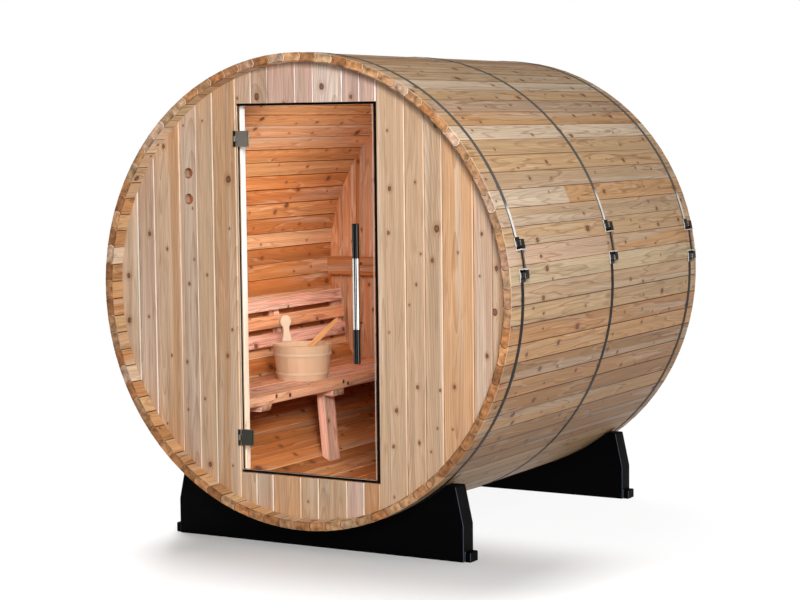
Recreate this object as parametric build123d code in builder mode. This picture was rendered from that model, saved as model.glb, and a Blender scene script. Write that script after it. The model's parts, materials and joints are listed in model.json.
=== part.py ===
from build123d import *

import math
import os

# Barrel sauna: a horizontal barrel of bead-and-cove staves on two moulded cradles, closed by two
# recessed plank walls. The front wall has a hinged glass door. Inside are a slatted bench, its
# backrest and a water bucket with a ladle.
#
# Frame: the origin is on the ground under the middle of the barrel, +Z is up, the front faces -Y
# and +X is to the right as one faces the front. All sizes are in millimetres and degrees.
# Heights named *_z are measured from the barrel's own centre line unless they say otherwise.

# ---------------------------------------------------------------- general clearances
HAIR_GAP = 0.3  # between parts that bear on a curved seat, or that lie side by side
DOOR_GAP = 5.0  # least running gap between the door and what it closes on

# ---------------------------------------------------------------- barrel
BARREL_DIAMETER = 1829.0
BARREL_LENGTH = 1778.0
BARREL_GROUND_CLEARANCE = 85.5
STAVE_THICKNESS = 35.0
STAVE_COUNT = 80
STAVES_PER_PANEL = 5
STAVE_PHASE = 3.15  # where the first stave joint lies, anticlockwise from +X seen from the front
CROZE_DEPTH = 10.0  # groove in the staves that holds the end walls

OUTER_RADIUS = BARREL_DIAMETER / 2
AXIS_HEIGHT = OUTER_RADIUS + BARREL_GROUND_CLEARANCE
INNER_RADIUS = OUTER_RADIUS - STAVE_THICKNESS
CROZE_RADIUS = INNER_RADIUS + CROZE_DEPTH
PANEL_COUNT = STAVE_COUNT // STAVES_PER_PANEL
PANEL_ANGLE = 360.0 / PANEL_COUNT
FRONT_Y = -BARREL_LENGTH / 2
BACK_Y = BARREL_LENGTH / 2

# ---------------------------------------------------------------- end walls
WALL_THICKNESS = 38.0
WALL_RECESS = 68.0  # from the stave ends to the outer face of each end wall
WALL_RADIUS = CROZE_RADIUS - HAIR_GAP
CROZE_WIDTH = WALL_THICKNESS + 2 * HAIR_GAP
FRONT_WALL_OUTER_Y = FRONT_Y + WALL_RECESS
FRONT_WALL_INNER_Y = FRONT_WALL_OUTER_Y + WALL_THICKNESS
BACK_WALL_OUTER_Y = BACK_Y - WALL_RECESS
BACK_WALL_INNER_Y = BACK_WALL_OUTER_Y - WALL_THICKNESS

VENT_DIAMETER = 42.0
VENT_X = -544.5
VENT_Z = 404.0  # middle of the pair
VENT_SPACING = 102.0

BATTEN_HEIGHT = 85.0
BATTEN_THICKNESS = 35.0
BATTEN_Z = -20.0

# ---------------------------------------------------------------- doorway
DOORWAY_WIDTH = 634.0
DOORWAY_TOP_Z = 725.0
DOORWAY_BOTTOM_Z = -721.0
FRAME_WIDTH = 38.0
FRAME_DEPTH = 32.0
SEAL_DEPTH = 10.0
SEAL_RIGHT = 17.0
SEAL_LEFT = 4.0
SEAL_TOP = 9.0
SEAL_BOTTOM = 12.0

DOORWAY_HALF = DOORWAY_WIDTH / 2
DOORWAY_HEIGHT = DOORWAY_TOP_Z - DOORWAY_BOTTOM_Z
DOORWAY_MIDDLE_Z = (DOORWAY_TOP_Z + DOORWAY_BOTTOM_Z) / 2

# ---------------------------------------------------------------- glass door
GLASS_THICKNESS = 8.0
GLASS_GAP_LEFT = 6.0
GLASS_GAP_RIGHT = 16.0
GLASS_GAP_TOP = 9.0
GLASS_GAP_BOTTOM = 12.0

GLASS_LEFT = -DOORWAY_HALF + GLASS_GAP_LEFT
GLASS_RIGHT = DOORWAY_HALF - GLASS_GAP_RIGHT
GLASS_TOP_Z = DOORWAY_TOP_Z - GLASS_GAP_TOP
GLASS_BOTTOM_Z = DOORWAY_BOTTOM_Z + GLASS_GAP_BOTTOM
GLASS_FRONT_Y = FRONT_WALL_OUTER_Y
GLASS_BACK_Y = GLASS_FRONT_Y + GLASS_THICKNESS
SEAL_FRONT_Y = GLASS_BACK_Y + DOOR_GAP
SEAL_BACK_Y = SEAL_FRONT_Y + SEAL_DEPTH

# ---------------------------------------------------------------- door hinges
HINGE_HEIGHT = 62.0
HINGE_UPPER_Z = 589.0
HINGE_LOWER_Z = -582.0
HINGE_KNUCKLE_RADIUS = 5.0
HINGE_PIN_RADIUS = 2.5
HINGE_PIN_FIT = 0.05  # radial clearance of the pin in the moving knuckle
HINGE_KNUCKLE_GAP = 0.5  # axial gap between knuckles
HINGE_PLATE_THICKNESS = 5.0
HINGE_CLAMP_WIDTH = 48.0
HINGE_CLAMP_INSET = 2.0  # from the glass edge to the clamp plates
HINGE_LEAF_THICKNESS = 3.0
HINGE_LEAF_REACH = 10.0  # of the wall leaf, past the edge of the doorway
HINGE_PIN_OUTSET = 1.0  # of the pin, inside the edge of the doorway
HINGE_PIN_PROUD = 8.0  # of the pin, in front of the wall

HINGE_PIN_X = -DOORWAY_HALF + HINGE_PIN_OUTSET
HINGE_PIN_Y = FRONT_WALL_OUTER_Y - HINGE_PIN_PROUD
HINGE_KNUCKLE_LENGTH = (HINGE_HEIGHT - 2 * HINGE_KNUCKLE_GAP) / 3

# ---------------------------------------------------------------- door handle
HANDLE_FROM_EDGE = 55.0  # from the glass edge to the tube's axis
HANDLE_STANDOFF = 38.0  # from the glass to the tube's axis
HANDLE_Z = 4.0
HANDLE_TUBE_DIAMETER = 28.0
HANDLE_TUBE_LENGTH = 268.0
HANDLE_GRIP_DIAMETER = 27.0
HANDLE_GRIP_LENGTH = 131.0
HANDLE_POST_DIAMETER = 10.0
HANDLE_POST_INSET = 22.0  # from the chrome part's end to the post's axis

HANDLE_X = GLASS_RIGHT - HANDLE_FROM_EDGE
HANDLE_Y = GLASS_FRONT_Y - HANDLE_STANDOFF
HANDLE_POST_OFFSET = HANDLE_TUBE_LENGTH / 2 - HANDLE_POST_INSET

# ---------------------------------------------------------------- hoop bands and tensioners
BAND_WIDTH = 20.0
BAND_THICKNESS = 1.5
BAND_FRONT_OFFSET = 90.0  # from the front stave ends to the first band's middle
BAND_BACK_OFFSET = 76.0  # from the back stave ends to the last band's middle
FRONT_TENSIONER_ANGLE = 9.1  # of its middle, anticlockwise from +X seen from the front
MIDDLE_TENSIONER_ANGLE = 10.5
REAR_TENSIONER_ANGLE = 8.1
FRONT_TENSIONER_SPAN = 166.0  # along the barrel's girth, over both lugs
MIDDLE_TENSIONER_SPAN = 175.0
REAR_TENSIONER_SPAN = 184.0
LUG_LENGTH = 50.0
LUG_WIDTH = 38.0
LUG_PLATE = 3.0
LUG_FLANGE_HEIGHT = 25.0
EYE_WIDTH = 22.0
EYE_LENGTH = 38.0
EYE_HEIGHT = 22.0
EYE_WALL = 3.0
EYE_CORNER_RADIUS = 4.0
ROD_DIAMETER = 11.0
ROD_HEIGHT = 13.5  # of the rod's axis, over the lug plates at the flanges
ROD_FIT = 0.4  # radial clearance in the flanges
NUT_ACROSS_FLATS = 13.0
NUT_THICKNESS = 8.0
ROD_PROUD = 4.0  # of the rod's end, past its nut

BAND_RADIUS = OUTER_RADIUS + HAIR_GAP
LUG_RADIUS = BAND_RADIUS + BAND_THICKNESS + HAIR_GAP
BANDS = (
    ("front_band", FRONT_Y + BAND_FRONT_OFFSET, FRONT_TENSIONER_ANGLE, FRONT_TENSIONER_SPAN),
    ("middle_band", 0.0, MIDDLE_TENSIONER_ANGLE, MIDDLE_TENSIONER_SPAN),
    ("rear_band", BACK_Y - BAND_BACK_OFFSET, REAR_TENSIONER_ANGLE, REAR_TENSIONER_SPAN),
)

# ---------------------------------------------------------------- cradles
CRADLE_WIDTH = 1300.0
CRADLE_THICKNESS = 80.0
CRADLE_FROM_END = 113.0  # from the stave ends to the cradle's outer face
CRADLE_SIDE_HEIGHT = 140.0
CRADLE_HEIGHT = 285.0
CRADLE_SHOULDER_INSET = 32.0  # of the top's outer corner, from the base's end
CRADLE_FOOT_REACH = 25.0
CRADLE_FOOT_HEIGHT = 38.0
CRADLE_FOOT_WIDTH = 60.0

# ---------------------------------------------------------------- bench
SEAT_TOP_Z = -448.0
SEAT_FRONT_X = -348.0
SLAT_WIDTH = 89.0
SLAT_THICKNESS = 38.0
SLAT_GAP = 10.0
SLAT_COUNT = 4
SLAT_END_GAP = 2.0  # from the slats' ends to the end walls
BEARER_THICKNESS = 28.0
BEARER_INSET = 3.0  # of the bearers' ends, from the seat's front edge
BEARER_MIDDLE_WIDTH = 89.0
BEARER_MIDDLE_Y = -22.0
BEARER_SIDE_WIDTH = 70.0
BEARER_SIDE_INSET = 212.5  # of the outer bearers' middles, from the end walls
BEARER_SIDE_BEVEL = 12.0  # by which their ends are cut back at the bottom
LEG_WIDTH = 85.0
LEG_THICKNESS = 38.0
LEG_TOP_X = -418.5
LEG_SLANT = 5.3

SEAT_BOTTOM_Z = SEAT_TOP_Z - SLAT_THICKNESS
BEARER_BOTTOM_Z = SEAT_BOTTOM_Z - BEARER_THICKNESS
BEARER_SIDE_OFFSET = BACK_WALL_INNER_Y - BEARER_SIDE_INSET

# ---------------------------------------------------------------- backrest
BACKREST_SLAT_HEIGHT = 57.0
BACKREST_SLAT_THICKNESS = 20.0
BACKREST_PITCH = 78.5
BACKREST_COUNT = 3
BACKREST_TOP_Z = -123.0
BACKREST_FROM_STAVES = 73.5  # of the top slat's front edge, from the widest place inside
BACKREST_LEAN = 8.4
BACKREST_END_GAP = 33.0  # from the slats' ends to the end walls
SUPPORT_WIDTH = 30.0
SUPPORT_DEPTH = 110.0  # from the slats' faces, before they are cut to the barrel's round

BACKREST_TOP_X = BACKREST_FROM_STAVES - INNER_RADIUS
SUPPORT_MIDDLE_OFFSET = 218.0

# ---------------------------------------------------------------- bucket and ladle
BUCKET_X = -524.0
BUCKET_Y = -36.0
BUCKET_HEIGHT = 150.0
BUCKET_TOP_RADIUS = 128.5
BUCKET_BASE_RADIUS = 108.0
BUCKET_WALL = 14.0
BUCKET_FLOOR = 14.0
BUCKET_FLOOR_RAISE = 10.0
EAR_ANGLE = 155.5  # of the tall stave, from +X
EAR_HEIGHT = 116.0
EAR_HEAD_RADIUS = 28.0
EAR_NECK_WIDTH = 30.0
EAR_SHOULDER_HEIGHT = 40.0  # where the neck starts, over the rim
EAR_BASE_WIDTH = 54.0
HOOP_HEIGHT = 10.0
HOOP_THICKNESS = 4.0
HOOP_LOWER = 28.0
HOOP_UPPER = 110.0
LADLE_HEADING = 49.7  # the way the handle leans, from +X
LADLE_TILT = 47.9  # of the handle, from upright
LADLE_ROLL = 70.0  # of the handle's flat face, about its own length
LADLE_REST_ANGLE = 87.4  # of the place where it crosses the rim, from +X
LADLE_REST_GAP = 5.0  # at rim height, from the bucket's inner face to the handle's side
LADLE_HANDLE_REACH = 138.0  # from the rim to the handle's tip
LADLE_TAPER_START = 40.0  # from the rim to where the handle starts to narrow
LADLE_HANDLE_WIDTH = 24.0
LADLE_TIP_WIDTH = 17.0
LADLE_HANDLE_THICKNESS = 11.0
LADLE_BOWL_RADIUS = 30.0
LADLE_BOWL_WALL = 5.0
LADLE_BOWL_DEPTH = 122.0  # from the rim along the handle to the bowl's centre

LADLE_REST_INSET = LADLE_HANDLE_WIDTH / 2 + LADLE_REST_GAP


def facing_front(y):
    """Plane across the barrel at y, centred on its axis, that faces the front.

    Its x is the object's X, its y is the object's Z, and an extrusion grows towards the front.
    """
    return Plane(origin=(0, y, AXIS_HEIGHT), x_dir=(1, 0, 0), z_dir=(0, -1, 0))


def facing_up(z):
    """Level plane at height z from the barrel's axis. An extrusion grows upwards."""
    return Plane.XY.offset(AXIS_HEIGHT + z)


def on_girth(radius, angle):
    """Point of a cross-section at a radius and an angle, anticlockwise from +X."""
    return Vector(radius * math.cos(math.radians(angle)), radius * math.sin(math.radians(angle)))


def save(piece, name):
    """Label a finished piece and write its file."""
    piece.part.label = name
    export_step(piece.part, f"parts/{name}.step")


os.makedirs("parts", exist_ok=True)


# ================================================================ barrel of staves
for number in range(PANEL_COUNT):
    first_angle = STAVE_PHASE + number * PANEL_ANGLE
    with BuildPart() as stave_panel:
        with BuildSketch(facing_front(BACK_Y)):
            with BuildLine():
                outer_arc = CenterArc((0, 0), OUTER_RADIUS, first_angle, PANEL_ANGLE)
                inner_arc = CenterArc((0, 0), INNER_RADIUS, first_angle, PANEL_ANGLE)
                Line(outer_arc @ 0, inner_arc @ 0)
                Line(outer_arc @ 1, inner_arc @ 1)
            make_face()
        extrude(amount=BARREL_LENGTH)
        for groove_back_y in (FRONT_WALL_INNER_Y + HAIR_GAP, BACK_WALL_OUTER_Y + HAIR_GAP):
            with BuildSketch(facing_front(groove_back_y)):
                Circle(CROZE_RADIUS)
            extrude(amount=CROZE_WIDTH, mode=Mode.SUBTRACT)
    save(stave_panel, f"stave_panel_{number + 1:02d}")


# ================================================================ end walls
with BuildPart() as front_wall_left:
    with BuildSketch(facing_front(FRONT_WALL_INNER_Y)):
        Circle(WALL_RADIUS)
        with Locations((-DOORWAY_HALF, 0)):
            Rectangle(
                WALL_RADIUS, 2 * WALL_RADIUS, align=(Align.MAX, Align.CENTER), mode=Mode.INTERSECT
            )
        with Locations((VENT_X, VENT_Z)):
            with GridLocations(0, VENT_SPACING, 1, 2):
                Circle(VENT_DIAMETER / 2, mode=Mode.SUBTRACT)
    extrude(amount=WALL_THICKNESS)
save(front_wall_left, "front_wall_left")

with BuildPart() as front_wall_right:
    with BuildSketch(facing_front(FRONT_WALL_INNER_Y)):
        Circle(WALL_RADIUS)
        with Locations((DOORWAY_HALF, 0)):
            Rectangle(
                WALL_RADIUS, 2 * WALL_RADIUS, align=(Align.MIN, Align.CENTER), mode=Mode.INTERSECT
            )
    extrude(amount=WALL_THICKNESS)
save(front_wall_right, "front_wall_right")

with BuildPart() as front_wall_top:
    with BuildSketch(facing_front(FRONT_WALL_INNER_Y)):
        Circle(WALL_RADIUS)
        with Locations((0, DOORWAY_TOP_Z)):
            Rectangle(
                DOORWAY_WIDTH, WALL_RADIUS, align=(Align.CENTER, Align.MIN), mode=Mode.INTERSECT
            )
    extrude(amount=WALL_THICKNESS)
save(front_wall_top, "front_wall_top")

with BuildPart() as front_wall_bottom:
    with BuildSketch(facing_front(FRONT_WALL_INNER_Y)):
        Circle(WALL_RADIUS)
        with Locations((0, DOORWAY_BOTTOM_Z)):
            Rectangle(
                DOORWAY_WIDTH, WALL_RADIUS, align=(Align.CENTER, Align.MAX), mode=Mode.INTERSECT
            )
    extrude(amount=WALL_THICKNESS)
save(front_wall_bottom, "front_wall_bottom")

with BuildPart() as back_wall:
    with BuildSketch(facing_front(BACK_WALL_OUTER_Y)):
        Circle(WALL_RADIUS)
    extrude(amount=WALL_THICKNESS)
save(back_wall, "back_wall")

with BuildPart() as back_wall_batten:
    with BuildSketch(facing_front(BACK_WALL_INNER_Y)):
        Circle(INNER_RADIUS - HAIR_GAP)
        with Locations((0, BATTEN_Z)):
            Rectangle(2 * INNER_RADIUS, BATTEN_HEIGHT, mode=Mode.INTERSECT)
    extrude(amount=BATTEN_THICKNESS)
save(back_wall_batten, "back_wall_batten")


# ================================================================ doorway frame and seal
with BuildPart() as door_frame:
    with BuildSketch(facing_front(FRONT_WALL_INNER_Y + FRAME_DEPTH)):
        jamb_offset = DOORWAY_HALF + FRAME_WIDTH / 2
        with Locations((-jamb_offset, DOORWAY_MIDDLE_Z), (jamb_offset, DOORWAY_MIDDLE_Z)):
            Rectangle(FRAME_WIDTH, DOORWAY_HEIGHT + 2 * FRAME_WIDTH)
        with Locations(
            (0, DOORWAY_TOP_Z + FRAME_WIDTH / 2), (0, DOORWAY_BOTTOM_Z - FRAME_WIDTH / 2)
        ):
            Rectangle(DOORWAY_WIDTH - 2 * HAIR_GAP, FRAME_WIDTH)
    extrude(amount=FRAME_DEPTH)
save(door_frame, "door_frame")

with BuildPart() as door_seal:
    with BuildSketch(facing_front(SEAL_BACK_Y)):
        with Locations((-DOORWAY_HALF, DOORWAY_MIDDLE_Z)):
            Rectangle(SEAL_LEFT, DOORWAY_HEIGHT, align=(Align.MIN, Align.CENTER))
        with Locations((DOORWAY_HALF, DOORWAY_MIDDLE_Z)):
            Rectangle(SEAL_RIGHT, DOORWAY_HEIGHT, align=(Align.MAX, Align.CENTER))
        rail_left = -DOORWAY_HALF + SEAL_LEFT + HAIR_GAP
        rail_length = DOORWAY_WIDTH - SEAL_LEFT - SEAL_RIGHT - 2 * HAIR_GAP
        with Locations((rail_left, DOORWAY_TOP_Z)):
            Rectangle(rail_length, SEAL_TOP, align=(Align.MIN, Align.MAX))
        with Locations((rail_left, DOORWAY_BOTTOM_Z)):
            Rectangle(rail_length, SEAL_BOTTOM, align=(Align.MIN, Align.MIN))
    extrude(amount=SEAL_DEPTH)
save(door_seal, "door_seal")


# ================================================================ glass door
with BuildPart() as door_glass:
    with BuildSketch(facing_front(GLASS_BACK_Y)):
        with Locations((GLASS_LEFT, GLASS_BOTTOM_Z)):
            Rectangle(
                GLASS_RIGHT - GLASS_LEFT, GLASS_TOP_Z - GLASS_BOTTOM_Z, align=(Align.MIN, Align.MIN)
            )
    extrude(amount=GLASS_THICKNESS)
save(door_glass, "door_glass")

# Each hinge has two knuckles and a pin on the wall leaf, and one knuckle between them on the
# plate that clamps the glass.
clamp_left = GLASS_LEFT + HINGE_CLAMP_INSET
knuckle_step = HINGE_KNUCKLE_LENGTH + HINGE_KNUCKLE_GAP

with BuildPart() as hinge_wall_leaves:
    for hinge_z in (HINGE_UPPER_Z, HINGE_LOWER_Z):
        hinge_foot_z = hinge_z - HINGE_HEIGHT / 2
        for knuckle_z in (hinge_foot_z, hinge_foot_z + 2 * knuckle_step):
            with BuildSketch(facing_up(knuckle_z)):
                with Locations((HINGE_PIN_X, HINGE_PIN_Y)):
                    Circle(HINGE_KNUCKLE_RADIUS)
                with Locations((HINGE_PIN_X, HINGE_PIN_Y)):
                    Rectangle(
                        HINGE_KNUCKLE_RADIUS,
                        HINGE_PIN_PROUD,
                        align=(Align.MAX, Align.MIN),
                    )
            extrude(amount=HINGE_KNUCKLE_LENGTH)
        with BuildSketch(facing_up(hinge_foot_z)):
            with Locations((HINGE_PIN_X, HINGE_PIN_Y)):
                Circle(HINGE_PIN_RADIUS)
            with Locations((-DOORWAY_HALF, FRONT_WALL_OUTER_Y)):
                Rectangle(
                    HINGE_LEAF_REACH, HINGE_LEAF_THICKNESS, align=(Align.MAX, Align.MAX)
                )
        extrude(amount=HINGE_HEIGHT)
save(hinge_wall_leaves, "hinge_wall_leaves")

with BuildPart() as hinge_glass_clamps:
    for hinge_z in (HINGE_UPPER_Z, HINGE_LOWER_Z):
        with BuildSketch(facing_up(hinge_z - HINGE_HEIGHT / 2)):
            with Locations((clamp_left, GLASS_FRONT_Y)):
                Rectangle(
                    HINGE_CLAMP_WIDTH, HINGE_PLATE_THICKNESS, align=(Align.MIN, Align.MAX)
                )
            with Locations((clamp_left, GLASS_BACK_Y)):
                Rectangle(
                    HINGE_CLAMP_WIDTH, HINGE_PLATE_THICKNESS, align=(Align.MIN, Align.MIN)
                )
        extrude(amount=HINGE_HEIGHT)
        with BuildSketch(facing_up(hinge_z - HINGE_KNUCKLE_LENGTH / 2)):
            with Locations((HINGE_PIN_X, HINGE_PIN_Y)):
                Circle(HINGE_KNUCKLE_RADIUS)
            with Locations((HINGE_PIN_X, GLASS_FRONT_Y - HINGE_PLATE_THICKNESS / 2)):
                Rectangle(
                    clamp_left - HINGE_PIN_X + HINGE_KNUCKLE_RADIUS,
                    HINGE_PIN_PROUD - HINGE_PLATE_THICKNESS / 2,
                    align=(Align.MIN, Align.MAX),
                )
            with Locations((HINGE_PIN_X, HINGE_PIN_Y)):
                Circle(HINGE_PIN_RADIUS + HINGE_PIN_FIT, mode=Mode.SUBTRACT)
        extrude(amount=HINGE_KNUCKLE_LENGTH)
save(hinge_glass_clamps, "hinge_glass_clamps")

with BuildPart() as handle_tube:
    with BuildSketch(facing_up(HANDLE_Z - HANDLE_TUBE_LENGTH / 2)):
        with Locations((HANDLE_X, HANDLE_Y)):
            Circle(HANDLE_TUBE_DIAMETER / 2)
    extrude(amount=HANDLE_TUBE_LENGTH)
    with BuildSketch(facing_front(GLASS_FRONT_Y)):
        with Locations((HANDLE_X, HANDLE_Z)):
            with GridLocations(0, 2 * HANDLE_POST_OFFSET, 1, 2):
                Circle(HANDLE_POST_DIAMETER / 2)
    extrude(amount=HANDLE_STANDOFF)
save(handle_tube, "handle_tube")

with BuildPart() as handle_grips:
    for grip_foot_z in (
        HANDLE_Z + HANDLE_TUBE_LENGTH / 2,
        HANDLE_Z - HANDLE_TUBE_LENGTH / 2 - HANDLE_GRIP_LENGTH,
    ):
        with BuildSketch(facing_up(grip_foot_z)):
            with Locations((HANDLE_X, HANDLE_Y)):
                Circle(HANDLE_GRIP_DIAMETER / 2)
        extrude(amount=HANDLE_GRIP_LENGTH)
save(handle_grips, "handle_grips")


# ================================================================ hoop bands and tensioners
# Each tensioner is a rod with a nut at either end, held in the eyes of two lugs that sit on the
# band. A lug is a curved plate with a flange towards the rod and a loop, the eye, behind it.
lug_angle = math.degrees(LUG_LENGTH / LUG_RADIUS)
eye_angle = math.degrees(EYE_LENGTH / LUG_RADIUS)
flange_angle = math.degrees(LUG_PLATE / LUG_RADIUS)

for band_name, band_y, tensioner_angle, tensioner_span in BANDS:
    flange_offset_angle = math.degrees(tensioner_span / 2 / LUG_RADIUS) - lug_angle
    band_gap_angle = 2 * (flange_offset_angle + flange_angle)
    with BuildPart() as band:
        with BuildSketch(facing_front(band_y + BAND_WIDTH / 2)):
            band_start = tensioner_angle + band_gap_angle / 2
            band_sweep = 360 - band_gap_angle
            with BuildLine():
                band_inner = CenterArc((0, 0), BAND_RADIUS, band_start, band_sweep)
                band_outer = CenterArc((0, 0), BAND_RADIUS + BAND_THICKNESS, band_start, band_sweep)
                Line(band_inner @ 0, band_outer @ 0)
                Line(band_inner @ 1, band_outer @ 1)
            make_face()
        extrude(amount=BAND_WIDTH)
    save(band, band_name)

    rod_radius_at_flange = LUG_RADIUS + ROD_HEIGHT
    rod_distance = rod_radius_at_flange * math.cos(math.radians(flange_offset_angle))
    rod_half_length = rod_radius_at_flange * math.sin(math.radians(flange_offset_angle))
    # The flanges stand radially, so a nut square to the rod needs room for the angle between.
    nut_gap = HAIR_GAP + NUT_ACROSS_FLATS * math.sin(math.radians(flange_offset_angle))
    nut_seat = rod_half_length + LUG_PLATE / 2 + EYE_WALL + nut_gap
    rod_end = nut_seat + NUT_THICKNESS + ROD_PROUD
    rod_middle = on_girth(rod_distance, tensioner_angle)
    rod_direction = on_girth(1, tensioner_angle + 90)
    rod_plane = Plane(
        origin=(rod_middle.X, band_y, AXIS_HEIGHT + rod_middle.Y),
        x_dir=(0, 1, 0),
        z_dir=(rod_direction.X, 0, rod_direction.Y),
    )
    with BuildPart() as tensioner:
        for side in (1, -1):
            flange_at = tensioner_angle + side * flange_offset_angle
            with BuildSketch(facing_front(band_y + LUG_WIDTH / 2)):
                with BuildLine():
                    plate_inner = CenterArc((0, 0), LUG_RADIUS, flange_at, side * lug_angle)
                    plate_outer = CenterArc(
                        (0, 0),
                        LUG_RADIUS + LUG_PLATE,
                        flange_at + side * flange_angle,
                        side * (lug_angle - flange_angle),
                    )
                    Line(plate_inner @ 1, plate_outer @ 1)
                    flange_top = on_girth(LUG_RADIUS + LUG_FLANGE_HEIGHT, flange_at)
                    flange_heel = on_girth(
                        LUG_RADIUS + LUG_FLANGE_HEIGHT, flange_at + side * flange_angle
                    )
                    Polyline(plate_inner @ 0, flange_top, flange_heel, plate_outer @ 0)
                make_face()
            extrude(amount=LUG_WIDTH)
            eye_at = flange_at + side * (flange_angle + eye_angle) / 2
            eye_centre = on_girth(LUG_RADIUS + ROD_HEIGHT, eye_at)
            with BuildSketch(facing_front(band_y + EYE_WIDTH / 2)):
                with Locations(Location((eye_centre.X, eye_centre.Y, 0), (0, 0, eye_at))):
                    RectangleRounded(EYE_HEIGHT, EYE_LENGTH, EYE_CORNER_RADIUS)
                    RectangleRounded(
                        EYE_HEIGHT - 2 * EYE_WALL,
                        EYE_LENGTH - 2 * EYE_WALL,
                        EYE_CORNER_RADIUS - EYE_WALL,
                        mode=Mode.SUBTRACT,
                    )
            extrude(amount=EYE_WIDTH)
        with BuildSketch(rod_plane.offset(-rod_end)):
            Circle(ROD_DIAMETER / 2 + ROD_FIT)
        extrude(amount=2 * rod_end, mode=Mode.SUBTRACT)
        with BuildSketch(rod_plane.offset(-rod_end)):
            Circle(ROD_DIAMETER / 2)
        extrude(amount=2 * rod_end)
        for nut_foot in (nut_seat, -nut_seat - NUT_THICKNESS):
            with BuildSketch(rod_plane.offset(nut_foot)):
                RegularPolygon(NUT_ACROSS_FLATS / 2, 6, major_radius=False)
            extrude(amount=NUT_THICKNESS)
    save(tensioner, f"{band_name}_tensioner")


# ================================================================ cradles
for cradle_name, cradle_back_y in (
    ("front_cradle", FRONT_Y + CRADLE_FROM_END + CRADLE_THICKNESS),
    ("rear_cradle", BACK_Y - CRADLE_FROM_END),
):
    with BuildPart() as cradle:
        with BuildSketch(facing_front(cradle_back_y)):
            half_width = CRADLE_WIDTH / 2
            shoulder = half_width - CRADLE_SHOULDER_INSET
            with BuildLine():
                Polyline(
                    (-half_width, -AXIS_HEIGHT),
                    (half_width, -AXIS_HEIGHT),
                    (half_width, CRADLE_SIDE_HEIGHT - AXIS_HEIGHT),
                    (shoulder, CRADLE_HEIGHT - AXIS_HEIGHT),
                    (-shoulder, CRADLE_HEIGHT - AXIS_HEIGHT),
                    (-half_width, CRADLE_SIDE_HEIGHT - AXIS_HEIGHT),
                    close=True,
                )
            make_face()
            Circle(OUTER_RADIUS + HAIR_GAP, mode=Mode.SUBTRACT)
        extrude(amount=CRADLE_THICKNESS)
        foot_back_y = cradle_back_y - (CRADLE_THICKNESS - CRADLE_FOOT_WIDTH) / 2
        with BuildSketch(facing_front(foot_back_y)):
            with Locations((0, -AXIS_HEIGHT)):
                Rectangle(
                    CRADLE_WIDTH + 2 * CRADLE_FOOT_REACH,
                    CRADLE_FOOT_HEIGHT,
                    align=(Align.CENTER, Align.MIN),
                )
        extrude(amount=CRADLE_FOOT_WIDTH)
    save(cradle, cradle_name)


# ================================================================ bench
slat_front_y = FRONT_WALL_INNER_Y + FRAME_DEPTH + SLAT_END_GAP
slat_back_y = BACK_WALL_INNER_Y - SLAT_END_GAP
seat_wall_radius = INNER_RADIUS - HAIR_GAP

with BuildPart() as bench_seat_slats:
    with BuildSketch(facing_front(slat_back_y)):
        for number in range(SLAT_COUNT):
            with Locations((SEAT_FRONT_X - number * (SLAT_WIDTH + SLAT_GAP), SEAT_TOP_Z)):
                Rectangle(SLAT_WIDTH, SLAT_THICKNESS, align=(Align.MAX, Align.MAX))
        Circle(seat_wall_radius, mode=Mode.INTERSECT)
    extrude(amount=slat_back_y - slat_front_y)
save(bench_seat_slats, "bench_seat_slats")

bearer_end_x = SEAT_FRONT_X - BEARER_INSET

with BuildPart() as bench_bearers:
    for bearer_y, bearer_width, bearer_bevel in (
        (-BEARER_SIDE_OFFSET, BEARER_SIDE_WIDTH, BEARER_SIDE_BEVEL),
        (BEARER_MIDDLE_Y, BEARER_MIDDLE_WIDTH, 0),
        (BEARER_SIDE_OFFSET, BEARER_SIDE_WIDTH, BEARER_SIDE_BEVEL),
    ):
        with BuildSketch(facing_front(bearer_y + bearer_width / 2)):
            with BuildLine():
                Polyline(
                    (bearer_end_x, SEAT_BOTTOM_Z),
                    (bearer_end_x - bearer_bevel, BEARER_BOTTOM_Z),
                    (-INNER_RADIUS, BEARER_BOTTOM_Z),
                    (-INNER_RADIUS, SEAT_BOTTOM_Z),
                    close=True,
                )
            make_face()
            Circle(seat_wall_radius, mode=Mode.INTERSECT)
        extrude(amount=bearer_width)
save(bench_bearers, "bench_bearers")

with BuildPart() as bench_leg:
    with BuildSketch(facing_front(BEARER_MIDDLE_Y + LEG_WIDTH / 2)):
        slant_run = math.tan(math.radians(LEG_SLANT)) * INNER_RADIUS
        half_leg = LEG_THICKNESS / 2 / math.cos(math.radians(LEG_SLANT))
        with BuildLine():
            Polyline(
                (LEG_TOP_X - half_leg, BEARER_BOTTOM_Z),
                (LEG_TOP_X + half_leg, BEARER_BOTTOM_Z),
                (LEG_TOP_X + half_leg + slant_run, BEARER_BOTTOM_Z - INNER_RADIUS),
                (LEG_TOP_X - half_leg + slant_run, BEARER_BOTTOM_Z - INNER_RADIUS),
                close=True,
            )
        make_face()
        Circle(seat_wall_radius, mode=Mode.INTERSECT)
    extrude(amount=LEG_WIDTH)
save(bench_leg, "bench_leg")


# ================================================================ backrest
# The slats lean back along the barrel's side. Their faces lie on one slanting plane.
lean = math.radians(BACKREST_LEAN)
down_x = math.sin(lean)
down_z = -math.cos(lean)
back_x = -math.cos(lean)
back_z = -math.sin(lean)


def on_backrest(down, back):
    """Point of a cross-section, down along the backrest and back from its front face."""
    return (
        BACKREST_TOP_X + down * down_x + back * back_x,
        BACKREST_TOP_Z + down * down_z + back * back_z,
    )


backrest_half_length = BACK_WALL_INNER_Y - BACKREST_END_GAP

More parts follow.
